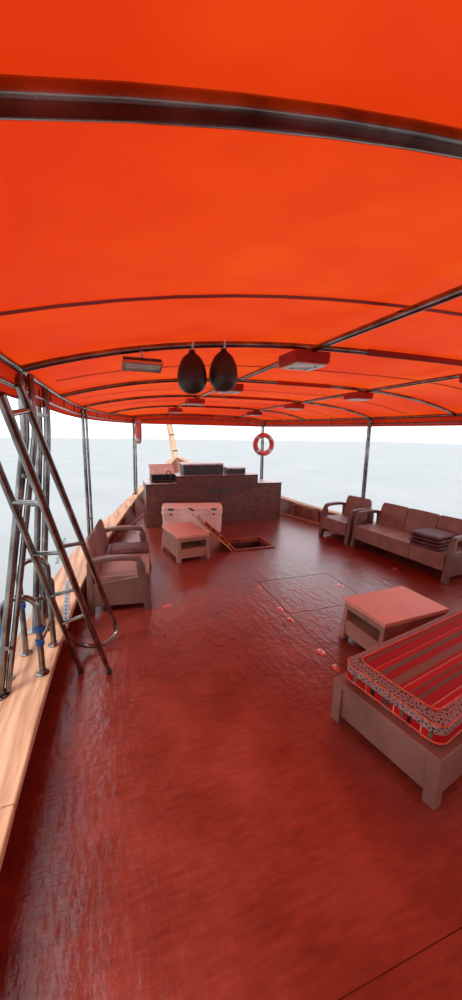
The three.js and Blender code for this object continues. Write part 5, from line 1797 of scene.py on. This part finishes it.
def settee():
    """A fluted box with a crowned cushion, whose striped top has a looped border between two lines of piping."""
    place = placed(*SETTEE_PLACE)
    width, length, base, pad = (SETTEE[k] for k in ("width", "length", "base", "cushion"))
    shape = Shape()
    for side in (-1, 1):
        ribbed_at = side * (width / 2 - 0.02)
        ribbed(shape, -length / 2 + 0.04, length / 2 - 0.04, 0.05, base - 0.04, ribbed_at - side * 0.02, ribbed_at)
    shape.box((width, length, 0.045), (0, 0, base - 0.0225))
    for j in (-1, 1):
        for k in range(3):
            share = (width - 0.1) / 3
            shape.box((share - 0.006, 0.04, base - 0.1), ((k - 1) * share, j * (length / 2 - 0.03), (base + 0.01) / 2))
        for i in (-1, 1):
            at = (i * (width - SETTEE_LEG) / 2, j * (length - SETTEE_LEG) / 2, (base - 0.04) / 2)
            shape.box((SETTEE_LEG, SETTEE_LEG, base - 0.04), at)
    put("settee_box", shape, [RATTAN], "rattan_plastic", nodes=["settee_base"], bevel=0.01, segments=3, place=place)

    cushion = Shape()
    w, l = width - 0.05, length - 0.04
    low = base + 0.0006
    insets = [((1 - share) * CUSHION_INSET, z) for share, z in CUSHION_LEVELS]
    cushion.skin([rounded_ring(w - inset, l - inset, 0.075, low + z, 8) for inset, z in insets])
    soft = soft_pad("settee_pad", cushion, place, 0.016, 0.012, low, base + pad - 0.002, [STRIPES, BORDER],
                    "settee_cushion")
    for face in soft.data.polygons:
        x, y, z = face.center
        near = abs(x) > w / 2 - BAND or abs(y) > l / 2 - BAND
        face.material_index = 1 if near and z > low + 0.08 else 0
    pipes = Shape()

    def surface_z(x, y):
        hit, where, _, _ = soft.ray_cast(Vector((x, y, 2)), -Z_WAY)
        return where.z if hit else low + 0.1

    def even_ring(wide, long, radius):
        ring = [Vector(p) for p in rounded_ring(wide, long, radius, 0, 12)]
        dense = []
        for p, q in zip(ring, ring[1:] + ring[:1]):
            steps = max(1, int((q - p).length / 0.05))
            dense += [p.lerp(q, s / steps) for s in range(steps)]
        return dense

    inner = even_ring(w - 2 * BAND, l - 2 * BAND, 0.055)
    pipes.tube([(p.x, p.y, surface_z(p.x, p.y) + 0.001) for p in inner], PIPING_R, 8, loop=True)
    outline = [(p.x, p.y) for p in even_ring(w, l, 0.08)]
    for level in EDGE_PIPING_LEVELS:
        edge = welt_line(soft, outline, w / 2 - 0.2, l / 2 - 0.2, low + level, 0.2, 0.001)
        pipes.tube(edge, EDGE_PIPING_R, 8, loop=True)
    put("settee_piping", pipes, [PIPING], "woven_cloth", place=place, crease=60)


FLOOR = DECK_Z + 0.0003
SEAT_TOP = FLOOR + 0.4003
PILE = (-2.261, -0.286, 103)
PILE_SHIFTS = ((0.0, 0.0, 2.0), (0.012, -0.006, -1.5), (-0.008, 0.008, 1.0), (0.004, 0.0, -3.0))
PILE_THICK = 0.0535
moulded_seat("sofa_port", 1.32, 2, placed(2.102, -0.985, FLOOR, -96))
seat_pads("sofa_port", 0.44, 0.54, 0.055, [placed(2.007, -1.297, SEAT_TOP, -93)], "sofa_port_cushion")
moulded_seat("armchair_starboard", 0.75, 1, placed(-2.08, -2.077, FLOOR, 100))
moulded_seat("sofa_starboard", 1.79, 3, placed(-2.287, -0.763, FLOOR, 97.1))
pile_places = [placed(PILE[0] + x, PILE[1] + y, SEAT_TOP + PILE_THICK * n, PILE[2] + turn)
               for n, (x, y, turn) in enumerate(PILE_SHIFTS)]
seat_pads("pile", 0.48, 0.525, PILE_THICK, pile_places, "sofa_cushion_pile")
moulded_table("table_fore", placed(1.098, -2.044, FLOOR, 99.8))
moulded_table("table_aft", placed(-0.31, 1.035, FLOOR, 3.4))
ice_chest()
settee()


# Boarding ladder and gate at the port rail
RAIL_TUBE_R = 0.02
RUNG_R = 0.013
RUNGS = (("outer", 0.3, "inner", 0.36), ("outer", 0.44, "inner", 0.48), ("outer", 0.62, "inner", 0.62),
         ("outer", 0.8, "inner", 0.77), ("inner", 0.64, "hand", 0.51), ("inner", 0.965, "hand", 0.945))
HAND_BEND = ((2.225, 0.224, 1.39), (2.293, 0.287, 1.352), (2.408, 0.319, 1.346), (2.505, 0.345, 1.385),
             (2.545, 0.47, 1.49))
HOOPS = (((2.715, 1.0), (2.925, 1.0), 2.2), ((2.69, 0.66), (2.87, 0.72), 2.35))
HOOP_CORNER = 0.09
HOOP_R = 0.02
HOOP_FOOT = ((0, 0), (0.042, 0), (0.042, 0.006), (0.026, 0.01), (0.024, 0.03), (0, 0.03))
GATE_BAR = ((2.715, 1.0, 1.85), (2.69, 0.66, 1.85))
TIES = ((2.715, 1.0, 1.95), (2.925, 1.0, 1.98), (2.69, 0.66, 2.05), (2.87, 0.72, 2.0), (2.715, 1.0, 1.85))
TIE_R = 0.0045


def mix(a, b, share):
    return Vector(a).lerp(Vector(b), share)


def boarding_ladder():
    """Two rails with rungs, and a hand rail that bends round in front of them."""
    def rail(foot, head):
        slope = math.hypot(head[0] - foot[0], head[1] - foot[1]) / (head[2] - DECK_Z)
        return [(*foot, DECK_Z + 0.02 * slope / math.hypot(1, slope) + 0.0003), head]

    rails = {
        "inner": rail((2.294, 0.682), (2.6, 1.842, 3.419)),
        "outer": rail((2.515, 0.6), (2.78, 1.464, 3.29)),
        "hand": [(2.233, 0.2, 1.47), (2.6, 1.504, 3.491)],
    }
    bend = [rails["hand"][0], *HAND_BEND, mix(*rails["outer"], 0.25)]
    shape = Shape()
    for line in rails.values():
        shape.tube([mix(*line, k / 6) for k in range(7)], RAIL_TUBE_R, 18)
    shape.tube(curve_through(bend, 7), RAIL_TUBE_R, 18)
    for start, at, end, share in RUNGS:
        shape.tube([mix(*rails[start], at), mix(*rails[end], share)], RUNG_R, 14)
    for line in (rails["inner"], rails["outer"]):
        foot, head = Vector(line[0]), Vector(line[1])
        along = (head - foot).normalized()
        shape.tube([foot, foot + along * 0.05], 0.024, 18, 1)
    put("boarding_ladder_tubes", shape, [STAINLESS, BLACK_PLASTIC], "stainless", nodes=["boarding_ladder"], crease=50)


def gate():
    """Two hoops on the cap with a bar between them, and lashings wound on their tubes."""
    shape = Shape()
    bends = [math.pi / 2 * k / 8 for k in range(9)]
    turn = [(HOOP_CORNER * (1 - math.cos(a)), HOOP_CORNER * (1 - math.sin(a))) for a in bends]
    for start, end, top in HOOPS:
        start, end = Vector((*start, 0)), Vector((*end, 0))
        reach = (end - start).length
        way = (end - start) / reach
        places = [(r, d) for r, d in turn] + [(reach - r, d) for r, d in reversed(turn)]
        path = [start + way * along + Vector((0, 0, top - drop)) for along, drop in places]
        feet = [start + Vector((0, 0, cap_top(start.y))), end + Vector((0, 0, cap_top(end.y)))]
        shape.tube([feet[0], *path, feet[1]], HOOP_R, 18)
        for foot in feet:
            shape.lathe(HOOP_FOOT, foot, "Z", 24)
    shape.tube(GATE_BAR, 0.012, 12)
    put("gate_hoops", shape, [STAINLESS], "stainless", nodes=["gate_rail"], crease=50)
    ties = Shape()
    for x, y, z in TIES:
        for k in range(5):
            ties.tube(circle((x, y, z + 0.0085 * k), 0.024, 20), TIE_R, 8, loop=True)
    put("gate_lashings", ties, [BLUE_WEBBING], "woven_cloth", crease=60)


CAP_PLATES = ((2.93, -2.35, 2.9, -1.2), (2.718, -0.603, 2.643, 0.305))
SCREW_PITCH = 0.08
SCREW_HEAD = ((0, 0.004), (0.011, 0.004), (0.011, 0.007), (0.006, 0.0095), (0, 0.01))


def cap_fittings():
    """Plates screwed to the broad port cap board."""
    shape = Shape()
    z = DECK_Z + BULWARK + CAP_THICK + 0.0006
    for x0, y0, x1, y1 in CAP_PLATES:
        start, end = Vector((x0, y0, z)), Vector((x1, y1, z))
        way = (end - start).normalized()
        turn = math.degrees(math.atan2(way.y, way.x))
        long = (end - start).length
        middle = (start + end) / 2
        shape.box((long, 0.05, 0.005), middle + Vector((0, 0, 0.0025)), turn)
        count = int(long / SCREW_PITCH)
        for k in range(count):
            at = start + way * (SCREW_PITCH / 2 + (long - SCREW_PITCH) * k / (count - 1))
            shape.lathe(SCREW_HEAD, at, "Z", 12, 1)
    put("cap_plates", shape, [GALVANISED, DARK_IRON], "stainless", bevel=0.0015)


GATE_POST_R = 0.024
GATE_FENDER = ((0, 0), (0.03, 0.002), (0.06, 0.02), (0.07, 0.05), (0.07, 0.32), (0.06, 0.35), (0.03, 0.37),
               (0.018, 0.375), (0.018, 0.405), (0, 0.407))


def gate_posts():
    """A pair of tubes from the cap to the awning's rail before the ladder, and a rubber fender hung at the gate."""
    shape = Shape()
    base = cap_top(0.4)
    foot, head, apart = Vector((2.81, 0.4, base)), Vector((2.652, 0.4, AWNING_EDGE - 0.02)), Vector((0.056, 0, 0))
    for k in (0, 1):
        knee = Vector((head.x, head.y, head.z - 0.3))
        path = [foot, foot.lerp(knee, 0.5), foot.lerp(knee, 0.97), knee + Vector((0, 0, 0.06)), head]
        shape.tube([p + k * apart for p in path], GATE_POST_R, 18)
    for t in (0.15, 0.55, 0.9):
        shape.box((0.112, 0.056, 0.03), foot.lerp(head, t) + apart / 2)
    shape.box((0.17, 0.1, 0.008), foot + apart / 2 + Vector((0, 0, 0.004)))
    put("gate_posts", shape, [STAINLESS], "stainless", crease=50, bevel=0.002)
    at = Vector((2.8, 0.17, base + 0.001))
    body = Shape().lathe(GATE_FENDER, at, "Z", 28)
    loop = at + Vector((0, 0, 0.39))
    body.tube(curve_through([loop, loop + Vector((0.02, 0.1, 0.12)), loop + Vector((0.01, 0.2, 0.3))], 5), 0.006, 8)
    put("gate_fender", body, [FENDER_RUBBER], "fender_rubber", crease=50)


boarding_ladder()
gate()
gate_posts()
cap_fittings()


# Floor at the waterline and soft light
FLOOR_REACH = 150.0
SKY = {"colour": (0.88, 0.93, 1.0, 1), "strength": 1.95}
SUN = {"energy": 2.6, "spread": 22, "colour": (1.0, 0.96, 0.9), "turn": (-24, 28, 0)}


def stage():
    """A plain floor, an even sky and one broad sun."""
    mesh = bpy.data.meshes.new("floor")
    mesh.from_pydata(rectangle(-FLOOR_REACH, -FLOOR_REACH, FLOOR_REACH, FLOOR_REACH, 0), [], [(0, 1, 2, 3)])
    floor = linked("floor", mesh)
    floor_paint = surface("floor_paint", ["8e9191", "979999"], 0.2, rough=(0.7, 0.85), fine=3, bump=0.02)
    mesh.materials.append(floor_paint)

    world = bpy.data.worlds.new("studio")
    world.use_nodes = True
    background = world.node_tree.nodes["Background"]
    background.inputs["Color"].default_value = SKY["colour"]
    background.inputs["Strength"].default_value = SKY["strength"]
    bpy.context.scene.world = world

    sun = bpy.data.lights.new("key", "SUN")
    sun.energy = SUN["energy"]
    sun.angle = math.radians(SUN["spread"])
    sun.color = SUN["colour"]
    key = linked("key", sun)
    key.rotation_euler = [math.radians(a) for a in SUN["turn"]]

    view = bpy.context.scene.view_settings
    view.view_transform = "Standard"
    view.exposure = 0.0


stage()
